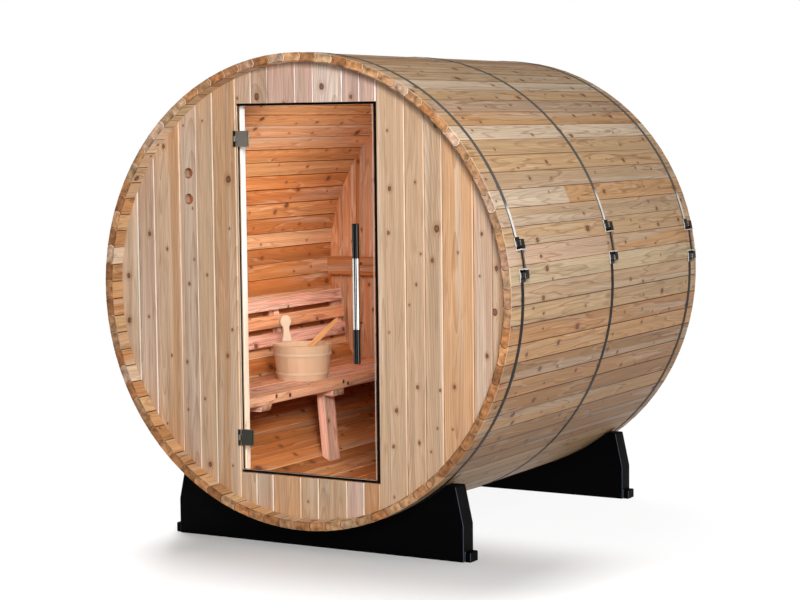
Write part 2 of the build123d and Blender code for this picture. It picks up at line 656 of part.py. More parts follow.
with BuildPart() as backrest_slats:
    with BuildSketch(facing_front(backrest_half_length)):
        for number in range(BACKREST_COUNT):
            slat_down = number * BACKREST_PITCH
            with BuildLine():
                Polyline(
                    on_backrest(slat_down, 0),
                    on_backrest(slat_down + BACKREST_SLAT_HEIGHT, 0),
                    on_backrest(slat_down + BACKREST_SLAT_HEIGHT, BACKREST_SLAT_THICKNESS),
                    on_backrest(slat_down, BACKREST_SLAT_THICKNESS),
                    close=True,
                )
            make_face()
    extrude(amount=2 * backrest_half_length)
save(backrest_slats, "backrest_slats")

with BuildPart() as backrest_supports:
    support_end = backrest_half_length - SUPPORT_WIDTH / 2
    support_length = (BACKREST_COUNT - 1) * BACKREST_PITCH + BACKREST_SLAT_HEIGHT
    for support_y in (-support_end, -SUPPORT_MIDDLE_OFFSET, SUPPORT_MIDDLE_OFFSET, support_end):
        with BuildSketch(facing_front(support_y + SUPPORT_WIDTH / 2)):
            with BuildLine():
                Polyline(
                    on_backrest(0, BACKREST_SLAT_THICKNESS),
                    on_backrest(support_length, BACKREST_SLAT_THICKNESS),
                    on_backrest(support_length, SUPPORT_DEPTH),
                    on_backrest(0, SUPPORT_DEPTH),
                    close=True,
                )
            make_face()
            Circle(seat_wall_radius, mode=Mode.INTERSECT)
        extrude(amount=SUPPORT_WIDTH)
save(backrest_supports, "backrest_supports")


# ================================================================ bucket and ladle
bucket_plane = Plane(
    origin=(BUCKET_X, BUCKET_Y, AXIS_HEIGHT + SEAT_TOP_Z),
    x_dir=(math.cos(math.radians(EAR_ANGLE)), math.sin(math.radians(EAR_ANGLE)), 0),
    z_dir=(0, 0, 1),
)
bucket_section = Plane(
    origin=bucket_plane.origin, x_dir=bucket_plane.x_dir, z_dir=-bucket_plane.y_dir
)
bucket_flare = (BUCKET_TOP_RADIUS - BUCKET_BASE_RADIUS) / BUCKET_HEIGHT


def bucket_radius(height):
    """Outer radius of the bucket at a height over the seat."""
    return BUCKET_BASE_RADIUS + bucket_flare * height


with BuildPart() as water_bucket:
    with BuildSketch(bucket_section):
        inner_floor = BUCKET_FLOOR_RAISE + BUCKET_FLOOR
        with BuildLine():
            Polyline(
                (0, BUCKET_FLOOR_RAISE),
                (bucket_radius(BUCKET_FLOOR_RAISE) - BUCKET_WALL, BUCKET_FLOOR_RAISE),
                (BUCKET_BASE_RADIUS - BUCKET_WALL, 0),
                (BUCKET_BASE_RADIUS, 0),
                (BUCKET_TOP_RADIUS, BUCKET_HEIGHT),
                (BUCKET_TOP_RADIUS - BUCKET_WALL, BUCKET_HEIGHT),
                (bucket_radius(inner_floor) - BUCKET_WALL, inner_floor),
                (0, inner_floor),
                close=True,
            )
        make_face()
    revolve(axis=Axis(bucket_plane.origin, (0, 0, 1)), revolution_arc=360)
    ear_plane = Plane(
        origin=bucket_plane.from_local_coords(
            (BUCKET_TOP_RADIUS - BUCKET_WALL, 0, BUCKET_HEIGHT)
        ),
        x_dir=bucket_plane.y_dir,
        z_dir=bucket_plane.x_dir - bucket_plane.z_dir * bucket_flare,
    )
    with BuildSketch(ear_plane):
        head_height = EAR_HEIGHT - EAR_HEAD_RADIUS
        with BuildLine():
            Polyline(
                (-EAR_NECK_WIDTH / 2, head_height),
                (-EAR_NECK_WIDTH / 2, EAR_SHOULDER_HEIGHT),
                (-EAR_BASE_WIDTH / 2, 0),
                (EAR_BASE_WIDTH / 2, 0),
                (EAR_NECK_WIDTH / 2, EAR_SHOULDER_HEIGHT),
                (EAR_NECK_WIDTH / 2, head_height),
                close=True,
            )
        make_face()
        with Locations((0, head_height)):
            Circle(EAR_HEAD_RADIUS)
    extrude(amount=BUCKET_WALL)
    with BuildSketch(ear_plane):
        with Locations((0, 0)):
            Rectangle(EAR_BASE_WIDTH, BUCKET_WALL, align=(Align.CENTER, Align.MAX))
    extrude(amount=BUCKET_WALL / 2)
save(water_bucket, "water_bucket")

with BuildPart() as bucket_hoops:
    for hoop_height in (HOOP_LOWER, HOOP_UPPER):
        hoop_foot = hoop_height - HOOP_HEIGHT / 2
        hoop_top = hoop_height + HOOP_HEIGHT / 2
        with BuildSketch(bucket_section):
            with BuildLine():
                Polyline(
                    (bucket_radius(hoop_foot) + HAIR_GAP, hoop_foot),
                    (bucket_radius(hoop_foot) + HAIR_GAP + HOOP_THICKNESS, hoop_foot),
                    (bucket_radius(hoop_top) + HAIR_GAP + HOOP_THICKNESS, hoop_top),
                    (bucket_radius(hoop_top) + HAIR_GAP, hoop_top),
                    close=True,
                )
            make_face()
        revolve(axis=Axis(bucket_plane.origin, (0, 0, 1)), revolution_arc=360)
save(bucket_hoops, "bucket_hoops")

# The ladle stands in the bucket and leans on its far rim, with the bowl down by the floor.
heading = math.radians(LADLE_HEADING)
tilt = math.radians(LADLE_TILT)
rest_angle = math.radians(LADLE_REST_ANGLE)
rest_radius = BUCKET_TOP_RADIUS - BUCKET_WALL - LADLE_REST_INSET
ladle_rest = Vector(
    BUCKET_X + rest_radius * math.cos(rest_angle),
    BUCKET_Y + rest_radius * math.sin(rest_angle),
    AXIS_HEIGHT + SEAT_TOP_Z + BUCKET_HEIGHT,
)
roll = math.radians(LADLE_ROLL)
level_across = Vector(-math.sin(heading), math.cos(heading), 0)
ladle_along = Vector(
    math.sin(tilt) * math.cos(heading), math.sin(tilt) * math.sin(heading), math.cos(tilt)
)
level_up = ladle_along.cross(level_across)
ladle_across = level_across * math.cos(roll) + level_up * math.sin(roll)
ladle_up = ladle_along.cross(ladle_across)
bowl_centre = ladle_rest - ladle_along * LADLE_BOWL_DEPTH

with BuildPart() as bucket_ladle:
    with BuildSketch(Plane(origin=bowl_centre, x_dir=ladle_across, z_dir=ladle_along)):
        with BuildLine():
            bowl_arc = CenterArc((0, 0), LADLE_BOWL_RADIUS, -90, 90)
            Polyline(bowl_arc @ 1, (0, 0), bowl_arc @ 0)
        make_face()
    revolve(axis=Axis(bowl_centre, ladle_up), revolution_arc=360)
    handle_foot = LADLE_BOWL_RADIUS - LADLE_BOWL_WALL - LADLE_BOWL_DEPTH
    handle_sketch = Plane(
        origin=ladle_rest - ladle_up * (LADLE_HANDLE_THICKNESS / 2),
        x_dir=ladle_across,
        z_dir=ladle_up,
    )
    with BuildSketch(handle_sketch):
        with BuildLine():
            Polyline(
                (-LADLE_HANDLE_WIDTH / 2, -handle_foot),
                (-LADLE_HANDLE_WIDTH / 2, -LADLE_TAPER_START),
                (-LADLE_TIP_WIDTH / 2, -LADLE_HANDLE_REACH),
                (LADLE_TIP_WIDTH / 2, -LADLE_HANDLE_REACH),
                (LADLE_HANDLE_WIDTH / 2, -LADLE_TAPER_START),
                (LADLE_HANDLE_WIDTH / 2, -handle_foot),
                close=True,
            )
        make_face()
    extrude(amount=LADLE_HANDLE_THICKNESS)
    with Locations(Plane(origin=bowl_centre, x_dir=ladle_across, z_dir=ladle_up)):
        Sphere(LADLE_BOWL_RADIUS - LADLE_BOWL_WALL, mode=Mode.SUBTRACT)
save(bucket_ladle, "bucket_ladle")
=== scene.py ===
"""Barrel sauna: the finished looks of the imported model.

Every piece is made in metres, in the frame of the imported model: the origin is on the ground under
the middle of the barrel, +Z is up, the front faces -Y and +X is to the right of the front.
"""

import json
import logging
import math
import random
from collections.abc import Callable, Sequence
from dataclasses import dataclass
from enum import Enum, IntEnum
from functools import cached_property, partial
from typing import NamedTuple

import bmesh
import bpy
import numpy as np
from mathutils import Euler, Matrix, Quaternion, Vector

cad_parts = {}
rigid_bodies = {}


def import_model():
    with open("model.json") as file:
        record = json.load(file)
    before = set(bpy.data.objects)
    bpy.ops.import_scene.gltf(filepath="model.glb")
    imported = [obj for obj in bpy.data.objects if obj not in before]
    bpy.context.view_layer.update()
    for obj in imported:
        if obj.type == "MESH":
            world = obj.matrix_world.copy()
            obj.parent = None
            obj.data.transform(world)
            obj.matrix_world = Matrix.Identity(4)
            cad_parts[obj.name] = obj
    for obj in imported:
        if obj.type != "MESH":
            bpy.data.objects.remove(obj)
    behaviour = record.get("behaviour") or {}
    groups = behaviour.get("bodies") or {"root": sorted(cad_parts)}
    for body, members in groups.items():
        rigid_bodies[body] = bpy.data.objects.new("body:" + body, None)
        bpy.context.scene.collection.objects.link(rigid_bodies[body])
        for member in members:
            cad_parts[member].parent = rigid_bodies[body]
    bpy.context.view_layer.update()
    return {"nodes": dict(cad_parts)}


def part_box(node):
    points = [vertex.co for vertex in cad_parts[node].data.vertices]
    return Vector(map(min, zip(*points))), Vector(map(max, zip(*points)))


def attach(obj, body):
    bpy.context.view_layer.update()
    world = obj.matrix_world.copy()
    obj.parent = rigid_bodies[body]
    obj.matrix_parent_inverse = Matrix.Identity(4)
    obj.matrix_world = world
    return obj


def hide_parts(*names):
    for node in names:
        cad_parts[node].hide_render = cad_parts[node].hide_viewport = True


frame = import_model()
LOG = logging.getLogger("sauna")

Colour = tuple[float, float, float]
Thing = bpy.types.Object
Test = Callable[[bmesh.types.BMVert | bmesh.types.BMEdge], bool]
ROOT = "sauna"
DOOR = "door"
RIGHT, BACK, UP = (Vector(row) for row in Matrix.Identity(3))
HAIR = 1e-5
WELD = 0.00002
FLAT = math.radians(0.5)
SMOOTH = math.radians(30.0)
SHARP = 50.0
END_SLOPE = 0.7


def shade(red: int, green: int, blue: int) -> Colour:
    """Turns a colour as a screen shows it, 0 to 255, into the linear values of a shader."""
    return tuple((channel / 255) ** 2.2 for channel in (red, green, blue))


# ---------------- shader graphs
def _maths(operation: str, turned: bool = False) -> Callable[["Wire", "Wire | float"], "Wire"]:
    """Makes one of Wire's operators.

    Args:
        operation: the operation of the Math node that it adds.
        turned: whether the other value comes first, as in 1 - wire.

    Returns:
        The operator.
    """

    def operate(wire: "Wire", other: "Wire | float") -> "Wire":
        """Adds the node to the wire's graph."""
        terms = (other, wire) if turned else (wire, other)
        return wire.graph.wire("Math", dict(enumerate(terms)), operation=operation)

    return operate


class Wire:
    """A socket of a shader graph that Python's operators work on."""

    def __init__(self, graph: "Graph", socket: bpy.types.NodeSocket) -> None:
        """Wraps one output socket of a graph."""
        self.graph = graph
        self.socket = socket

    __add__ = __radd__ = _maths("ADD")
    __mul__ = __rmul__ = _maths("MULTIPLY")
    __sub__ = _maths("SUBTRACT")
    __rsub__ = _maths("SUBTRACT", turned=True)
    __truediv__ = _maths("DIVIDE")
    __pow__ = _maths("POWER")
    __gt__ = _maths("GREATER_THAN")
    greater = _maths("MAXIMUM")

    def of(self, operation: str) -> "Wire":
        """A Math operation on this value alone, such as ABSOLUTE, FRACT or SQRT."""
        return self.graph.wire("Math", {0: self}, operation=operation)

    def ease(self, start: float, end: float) -> "Wire":
        """Eases this value into a mask.

        Args:
            start: where the mask is 0.
            end: where it is 1, which may be less than start.

        Returns:
            The mask.
        """
        inputs = {"Value": self, "From Min": min(start, end), "From Max": max(start, end)}
        rising = self.graph.wire("MapRange", inputs, interpolation_type="SMOOTHSTEP")
        return rising if start < end else 1.0 - rising


class Blend(Enum):
    """How one colour is laid over another."""

    COVER = "MIX"
    STAIN = "MULTIPLY"


class Graph:
    """The shader graph of one material or of the world."""

    def __init__(self, tree: bpy.types.NodeTree) -> None:
        """Empties a node tree and takes it over."""
        self.tree = tree
        tree.nodes.clear()

    def node(self, kind: str, inputs: dict | None = None, **settings: object) -> bpy.types.Node:
        """Adds a node.

        Args:
            kind: the node's type, without the ShaderNode that all of them start with.
            inputs: a value or a Wire for each socket, by name or number.
            settings: its properties, which are set first.

        Returns:
            The node.
        """
        made = self.tree.nodes.new("ShaderNode" + kind)
        for key, value in settings.items():
            setattr(made, key, value)
        for key, value in (inputs or {}).items():
            if isinstance(value, Wire):
                self.tree.links.new(value.socket, made.inputs[key])
            else:
                made.inputs[key].default_value = value
        return made

    def wire(
        self, kind: str, inputs: dict | None = None, output: int | str = 0, **settings: object
    ) -> Wire:
        """Adds a node as node() does and returns one of its outputs."""
        return Wire(self, self.node(kind, inputs, **settings).outputs[output])

    def layered(self, base: Wire | Colour, *layers: tuple) -> Wire:
        """Lays colours over a base, one after the other.

        Args:
            base: a colour or a Wire.
            layers: how much there is of each, its Blend, and its colour or a Wire.

        Returns:
            The colour.
        """
        for factor, blend, colour in layers:
            pair = [c if isinstance(c, Wire) else (*c, 1.0) for c in (base, colour)]
            inputs = {0: factor, 6: pair[0], 7: pair[1]}
            base = self.wire("Mix", inputs, 2, data_type="RGBA", blend_type=blend.value)
        return base

    def point(self, x: Wire | float, y: Wire | float, z: Wire | float = 0.0) -> Wire:
        """A vector from three values."""
        return self.wire("CombineXYZ", {0: x, 1: y, 2: z})

    def grey(self, level: Wire) -> Wire:
        """A grey of that level."""
        return self.point(level, level, level)

    def parts(self, vector: Wire) -> list[Wire]:
        """The three values of a vector or colour."""
        made = self.node("SeparateXYZ", {0: vector})
        return [Wire(self, socket) for socket in made.outputs]

    def place(self) -> Wire:
        """The place on the object, in metres."""
        return self.wire("TexCoord", output="Object")

    def mark(self, name: str, output: str) -> Wire:
        """An attribute that a board was marked with."""
        return self.wire("Attribute", output=output, attribute_name=name)

    def noise(self, at: Wire, scale: float = 1.0, detail: float = 2.0) -> Wire:
        """Soft noise, from about -0.5 to 0.5."""
        return self.wire("TexNoise", {"Vector": at, "Scale": scale, "Detail": detail}) - 0.5

    def seen(self, *kinds: str) -> Wire:
        """1 for rays of these kinds, else 0."""
        ways = self.node("LightPath").outputs
        return self.wire("Clamp", {"Value": sum(Wire(self, ways[f"Is {k} Ray"]) for k in kinds)})

    def surface(self, shader: Wire) -> None:
        """Ends the graph with a shader."""
        self.node("OutputMaterial", {"Surface": shader})

    def close(self, shader: dict, height: Wire, depth: float) -> None:
        """Ends the graph with one Principled shader.

        Args:
            shader: the shader's inputs by name.
            height: the surface's relief, from 0 to 1.
            depth: the relief's depth in metres.
        """
        normal = self.wire("Bump", {"Strength": 1.0, "Distance": depth, "Height": height})
        self.surface(self.wire("BsdfPrincipled", {**shader, "Normal": normal}))


# ---------------- finishes
class Tint(Enum):
    """The tones that boards of one batch come in, from sapwood to heartwood."""

    PALE = shade(214, 194, 168)
    STRAW = shade(207, 177, 144)
    GREIGE = shade(201, 174, 149)
    ROSE = shade(212, 182, 165)
    HONEY = shade(208, 168, 128)
    MILK = shade(227, 210, 196)
    TAN = shade(192, 148, 108)
    BROWN = shade(176, 136, 98)

    @classmethod
    def row(cls, letters: str) -> list["Tint"]:
        """Tints from their first letters, one for each board in order."""
        named = {tint.name[0]: tint for tint in cls}
        return [named[letter] for letter in letters]


def toned(tint: Tint, dice: random.Random, spread: float = 0.05) -> Colour:
    """Gives a tint a board's own small difference.

    Args:
        tint: the tint.
        dice: the source of the difference.
        spread: the greatest change of its level.

    Returns:
        The board's colour.
    """
    level = 1.0 + dice.uniform(-spread, spread)
    warm = 1.0 + dice.uniform(-spread, spread) * 0.4
    red, green, blue = tint.value
    return (red * level * warm, green * level, blue * level / warm)


@dataclass(frozen=True)
class Finish:
    """What a surface is made of. Each kind paints its own graph."""

    name: str

    def paint(self, graph: Graph) -> None:
        """Fills the material's graph."""
        raise NotImplementedError

    @cached_property
    def material(self) -> bpy.types.Material:
        """The material, made when it is first asked for."""
        made = bpy.data.materials.new(self.name)
        made.use_nodes = True
        self.paint(Graph(made.node_tree))
        return made


@dataclass(frozen=True)
class Ripple:
    """Noise drawn out along a board: its changes per metre along and across, and its detail."""

    along: float
    across: float
    detail: float = 2.0
    shift: float = 0.0

    def over(self, graph: Graph, u: Wire, v: Wire, seed: Wire) -> Wire:
        """The noise over a board, from about -0.5 to 0.5."""
        at = graph.point(u * self.along, v * self.across, seed + self.shift)
        return graph.noise(at, detail=self.detail)


@dataclass(frozen=True)
class Timber(Finish):
    """Wood whose pattern comes from each board's own marks.

    These are its uv map "grain", in metres along and across the board, and its attributes "seed"
    and "tint".
    """

    def board(self, graph: Graph) -> tuple[Wire, Wire, Wire, Wire, list[Wire]]:
        """Reads a board's marks.

        Args:
            graph: the material's graph.

        Returns:
            The place along and across the board, its seed and tint, and three chances of its own.
        """
        u, v, _ = graph.parts(graph.wire("UVMap", uv_map="grain"))
        seed = graph.mark("seed", "Fac")
        dice = graph.wire("TexWhiteNoise", {"W": seed}, "Color", noise_dimensions="1D")
        return u, v, seed, graph.mark("tint", "Vector"), graph.parts(dice)


@dataclass(frozen=True)
class Wood(Timber):
    """Sawn and planed timber, with growth rings, streaks, fibres, veins and knots."""

    cast: Colour = (1.0, 1.0, 1.0)
    contrast: float = 1.0
    ring_pitch: float = 0.0065
    knot_spacing: float = 0.19
    knot_share: float = 0.6
    knot_radius: tuple[float, float] = (0.0035, 0.0095)
    knot_reach: float = 0.052
    roughness: float = 0.6
    relief: float = 0.0004
    vein: float = 0.022
    figure: float = 0.2
    sapwood: float = 0.3
    # Painted light: how far the wood fades to white, and between which heights.
    painted_glow: float = 0.0
    painted_glow_heights: tuple[float, float] = (0.80, 1.10)

    def _knots(self, graph: Graph, u: Wire, v: Wire, seed: Wire) -> tuple[Wire, ...]:
        """Lays one knot at most in each length of a board.

        Args:
            graph: the material's graph.
            u: place along the board.
            v: place across the board, from its middle.
            seed: the board's own number.

        Returns:
            The knots' hearts, their dark rims, the stained wood round them, and how far they
            push the grain aside.
        """
        place = u / self.knot_spacing + seed * 13.7
        inputs = {"W": place, "Scale": 1.0, "Randomness": 1.0}
        cell = graph.node("TexVoronoi", inputs, voronoi_dimensions="1D")
        chance = graph.parts(Wire(graph, cell.outputs["Color"]))
        along = (place - Wire(graph, cell.outputs["W"])) * self.knot_spacing
        across = v - (chance[0] - 0.5) * self.knot_reach
        there = chance[1] > 1.0 - self.knot_share
        least, most = self.knot_radius
        radius = chance[2] ** 2.5 * (most - least) + least
        wobble = Ripple(120.0, 160.0).over(graph, u, v, seed) * 0.8
        span = ((along * 0.75) ** 2.0 + across**2.0).of("SQRT") / radius + wobble
        heart = span.ease(1.1, 0.9) * there
        rim = (span - 0.95).of("ABSOLUTE").ease(0.42, 0.2) * (0.45 + chance[2] * 0.4) * there
        rim = rim + span.ease(0.6, 0.3) * there * 0.4
        stain = span.ease(3.6, 0.9) * there
        side = graph.wire("Clamp", {"Value": across / radius, "Min": -1.0, "Max": 1.0})
        return heart, rim, stain, side * radius * span.ease(4.0, 0.6) * there

    def _rings(self, u: Wire, grain: Wire, drift: Wire, chance: list[Wire]) -> Wire:
        """Cuts the board lengthwise out of a log of its own.

        Args:
            u: place along the board.
            grain: place across the grain.
            drift: how the log wanders along the board.
            chance: three chances of the board's own.

        Returns:
            The late wood of the growth rings, from 0 to 1.
        """
        depth = chance[1] * 0.05 + 0.012 + u * ((chance[2] - 0.5) * 0.12) + drift * 0.05
        pith = (chance[0] - 0.5) * 0.14
        reach = ((grain - pith) ** 2.0 + depth**2.0).of("SQRT") / self.ring_pitch
        return reach.of("FRACT") ** 3.0

    def paint(self, graph: Graph) -> None:
        """Lays the log's figure, the knots and any painted glow over the board's own tint.

        Args:
            graph: the material's graph.
        """
        u, v, seed, tint, chance = self.board(graph)
        heart, rim, stain, push = self._knots(graph, u, v, seed)
        grain = v - push + Ripple(1.6, 5.0).over(graph, u, v, seed) * 0.016
        drift = graph.noise(graph.point(u * 1.1, seed * 3.0), detail=1.0)
        ring = self._rings(u, grain, drift, chance)
        streak, fibre, sap, fleck, wave = (
            ripple.over(graph, u, grain, seed)
            for ripple in (
                Ripple(0.9, 48.0, 3.0),
                Ripple(7.0, 330.0),
                Ripple(0.5, 15.0, 1.0, shift=40.0),
                Ripple(5.0, 85.0, 1.0, shift=9.0),
                Ripple(1.5, 20.0, shift=3.0),
            )
        )
        vein = wave.of("ABSOLUTE").ease(self.vein, self.vein * 0.3)
        beside = (wave - self.vein * 1.8).of("ABSOLUTE").ease(self.vein, self.vein * 0.4)
        level = graph.grey(1.0 + (streak * 0.62 + fibre * 0.5) * self.contrast)
        base = graph.layered(
            tint,
            (1.0, Blend.STAIN, self.cast),
            (sap.ease(0.06, 0.14) * self.sapwood, Blend.COVER, shade(226, 206, 184)),
            (1.0, Blend.STAIN, level),
            (ring * (0.42 * self.contrast), Blend.STAIN, (0.54, 0.37, 0.26)),
            (fleck.ease(0.2, 0.32) * 0.6, Blend.STAIN, (0.52, 0.36, 0.26)),
            (beside * (0.45 * self.figure), Blend.COVER, shade(236, 214, 188)),
            (vein * self.figure, Blend.STAIN, (0.55, 0.38, 0.27)),
            (stain * 0.5, Blend.STAIN, (0.72, 0.50, 0.36)),
            (heart * 0.8, Blend.COVER, shade(128, 86, 66)),
            (rim * 0.85, Blend.COVER, shade(66, 36, 26)),
        )
        # Painted light: the wood fades to white with height, for strong light falling on it.
        if self.painted_glow:
            _, _, z = graph.parts(graph.place())
            pale = z.ease(*self.painted_glow_heights) * self.painted_glow
            base = graph.layered(base, (pale, Blend.COVER, (1.0, 1.0, 1.0)))
        shader = {"Base Color": base, "Roughness": ring * -0.1 + self.roughness}
        graph.close(shader, 0.5 - ring * 0.3 + fibre * 0.5 - rim * 0.3, self.relief)


@dataclass(frozen=True)
class Edge(Wood):
    """Wood without knots, as on an edge with a painted highlight or painted shade."""

    knot_share: float = 0.0


@dataclass(frozen=True)
class EndGrain(Timber):
    """The sawn end of a board, with its rings seen end on."""

    level: float = 0.6
    ring_pitch: float = 0.0042
    relief: float = 0.0005

    def paint(self, graph: Graph) -> None:
        """Lays round rings, pores and patches over the board's own tint.

        Args:
            graph: the material's graph.
        """
        u, v, seed, tint, chance = self.board(graph)
        across = u - (chance[0] - 0.5) * 0.16
        down = v + chance[1] * 0.06 + 0.03
        sway, pore, patch = (
            Ripple(scale, scale, detail).over(graph, u, v, seed)
            for scale, detail in ((60.0, 2.0), (700.0, 2.0), (45.0, 3.0))
        )
        reach = (across**2.0 + down**2.0).of("SQRT") / self.ring_pitch + sway * 0.7
        ring = reach.of("FRACT") ** 2.0
        level = (chance[2] * 0.45 + self.level) * (1.0 + pore * 0.6 + patch * 2.6)
        base = graph.layered(
            tint,
            (1.0, Blend.STAIN, graph.grey(level)),
            (1.0, Blend.STAIN, (1.02, 0.79, 0.62)),
            (ring * 0.5, Blend.STAIN, (0.52, 0.34, 0.22)),
        )
        graph.close({"Base Color": base, "Roughness": 0.8}, pore + ring * -0.5, self.relief)


@dataclass(frozen=True)
class Metal(Finish):
    """Bare or plated metal, with a faint brushing and handling marks."""

    colour: Colour
    roughness: float
    metallic: float = 1.0
    marks: float = 0.25
    tinted: bool = False
    relief: float = 0.00008

    def paint(self, graph: Graph) -> None:
        """Lays the marks over the colour, or over each part's own tint.

        Args:
            graph: the material's graph.
        """
        at = graph.place()
        cloud, fine = graph.noise(at, 38.0, 4.0), graph.noise(at, 900.0)
        level = graph.grey(1.0 + (cloud + fine * 0.4) * self.marks)
        source = graph.mark("tint", "Vector") if self.tinted else self.colour
        base = graph.layered(level, (1.0, Blend.STAIN, source))
        rough = cloud * self.marks * 0.5 + self.roughness
        shader = {"Base Color": base, "Metallic": self.metallic, "Roughness": rough}
        graph.close(shader, fine, self.relief)


@dataclass(frozen=True)
class Strap(Finish):
    """Steel hoop band: dark, with painted reflections, grey high up and white above its tensioner.

    The painted highlight is told by its height on the right side, and the dark edge by its depth.
    """

    bright_from: float
    bright_to: float
    dark_side: float
    relief: float = 0.00008

    def paint(self, graph: Graph) -> None:
        """Lays the painted reflections and the marks over the dark steel.

        Args:
            graph: the material's graph.
        """
        at = graph.place()
        x, y, z = graph.parts(at)
        cloud, fine = graph.noise(at, 30.0, 4.0), graph.noise(at, 700.0)
        # Painted reflections: grey above the tensioner's height, and a white painted highlight on
        # the right side just above the tensioner, clear of a dark line along the front edge.
        upper = z.ease(self.bright_from - 0.03, self.bright_from)
        painted_highlight = z.ease(self.bright_to + 0.02, self.bright_to - 0.02) * upper * (x > 0.0)
        painted_highlight = painted_highlight * y.ease(self.dark_side - 0.001, self.dark_side + 0.001)
        base = graph.layered(
            shade(10, 10, 12),
            (z.ease(self.bright_from, self.bright_to), Blend.COVER, shade(104, 102, 98)),
            (painted_highlight, Blend.COVER, shade(255, 252, 246)),
            (1.0, Blend.STAIN, graph.grey(1.0 + cloud * 0.4 + fine * 0.15)),
        )
        shader = {"Base Color": base, "Metallic": 0.2 - painted_highlight * 0.2, "Specular IOR Level": 0.15}
        graph.close({**shader, "Roughness": cloud * 0.25 + 0.45}, fine, self.relief)


@dataclass(frozen=True)
class Moulded(Finish):
    """Moulded plastic or rubber with a fine skin."""

    colour: Colour
    roughness: float
    skin: float = 0.0003
    skin_scale: float = 500.0
    gloss: float = 0.12
    dust: float = 0.004

    def paint(self, graph: Graph) -> None:
        """Lays scuffs and dust over the colour.

        Args:
            graph: the material's graph.
        """
        at = graph.place()
        skin, scuff = graph.noise(at, self.skin_scale), graph.noise(at, 9.0, 5.0)
        dusty = tuple(channel + self.dust for channel in self.colour)
        base = graph.layered(self.colour, (scuff.ease(0.12, 0.3) * 0.35, Blend.COVER, dusty))
        rough = scuff * 0.3 + self.roughness
        shader = {"Base Color": base, "Roughness": rough, "Specular IOR Level": self.gloss}
        graph.close(shader, skin, self.skin)


@dataclass(frozen=True)
class ClearGlass(Finish):
    """Toughened door glass that lets lamps through."""

    colour: Colour
    bend: float = 1.02

    def paint(self, graph: Graph) -> None:
        """Mixes glass with an open way for the lamps' rays.

        Args:
            graph: the material's graph.
        """
        colour = (*self.colour, 1.0)
        glass = {"Base Color": colour, "Roughness": 0.0, "IOR": self.bend}
        pane = graph.wire("BsdfPrincipled", {**glass, "Transmission Weight": 1.0})
        open_way = graph.wire("BsdfTransparent", {"Color": colour})
        lamp = Wire(graph, graph.node("LightPath").outputs["Is Shadow Ray"])
        graph.surface(graph.wire("MixShader", {0: lamp, 1: pane, 2: open_way}))


class Finishes:
    """Every finish of the sauna."""

    cedar = Wood(
        "cedar_outside", (0.95, 0.90, 0.90), 1.3, knot_radius=(0.003, 0.0092), sapwood=0.42
    )
    # Inner faces: a redder, darker copy of the cedar, its cast partly painted light for the warm
    # light that bounces round inside the barrel.
    cedar_inside = Wood(
        "cedar_indoors",
        (1.00, 0.59, 0.345),
        contrast=1.5,
        knot_share=0.65,
        knot_radius=(0.004, 0.0105),
        figure=0.4,
    )
    # Dark joint colour, also painted shade on the chamfer of a joint that faces away from the
    # light.
    cedar_joint = Edge("cedar_joint", (0.29, 0.17, 0.10))
    inside_joint = Edge("inside_joint", (0.20, 0.07, 0.03))
    # Painted highlights on the staves' chamfers that face the light, inside and out, and on their
    # ends.
    inside_edge = Edge("inside_edge", (1.45, 1.08, 0.80))
    stave_edge = Edge("stave_edge", (1.30, 1.28, 1.22))
    bench_cedar = Wood("cedar_bench", (1.33, 0.97, 0.93), 2.2, knot_share=0.5, figure=0.5)
    # Painted shade inside the screw holes.
    plug = Edge("screw_hole_shade", (0.10, 0.05, 0.03))
    # Painted highlights on the end walls' chamfers that face the light.
    planed_edge = Edge("cedar_planed_edge", (1.5, 1.75, 2.1))
    warm_edge = Edge("cedar_warm_edge", (1.45, 1.45, 1.55))
    stave_cedar = Wood("cedar_staves", (1.13, 1.02, 0.82), 1.25, figure=0.5, sapwood=0.42)
    # Doorway framing: the white fade towards its top is painted light, and its pale cast partly so.
    jamb_cedar = Wood("cedar_jamb", (1.45, 1.40, 1.55), 0.6, knot_share=0.2, painted_glow=1.0)
    end_grain = EndGrain("cedar_end_grain")
    pine = Edge("pine_wood", (1.02, 0.89, 0.90), 0.16, figure=0.0, sapwood=0.0)
    ladle_wood = Edge("ladle_timber", (1.05, 0.72, 0.46), 0.8)
    glass = ClearGlass("door_glazing", shade(250, 253, 251))
    # Painted light: a pale warm tone on the polished glass edge, for the light seen through it.
    glass_edge = Metal("glass_edge", shade(215, 190, 172), 0.2, 0.0, 0.1)
    rubber = Moulded("rubber_seal", shade(7, 7, 7), 0.45)
    grip = Moulded("grip_moulding", shade(8, 8, 8), 0.08, 0.0, gloss=0.6)
    cradle = Moulded("cradle_moulding", shade(11, 11, 13), 0.5, 0.0004, 220.0, 0.03)
    # Painted highlight along the cradles' upright corners.
    cradle_edge = Moulded("cradle_edge", shade(72, 78, 92), 0.4, 0.0003, 220.0, 0.3)
    hinge = Metal("hinge_plate", shade(120, 122, 108), 0.35, 0.25, tinted=True)
    # Painted highlight on the clamps' eased edges.
    hinge_edge = Metal("hinge_edge", shade(136, 136, 128), 0.3, 0.25)
    chrome = Metal("chrome_plate", shade(235, 235, 232), 0.08, marks=0.05)
    # Light zinc: painted highlights on the tensioners' plates.
    zinc = Metal("bright_zinc", shade(244, 244, 244), 0.22, 0.45)
    dark_zinc = Metal("dark_zinc", shade(10, 10, 11), 0.25, 0.2)
    rod_steel = Metal("rod_steel", shade(92, 80, 72), 0.12, 0.9, 0.1)


# ---------------- modelling
class Face(IntEnum):
    """The material slots of a wooden board's faces."""

    OUTSIDE = 0
    END = 1
    INSIDE = 2
    # JOINTs take the dark joint colour, also as painted shade; EDGEs take painted highlights.
    JOINT = 3
    EDGE = 4
    INSIDE_JOINT = 5
    INSIDE_EDGE = 6


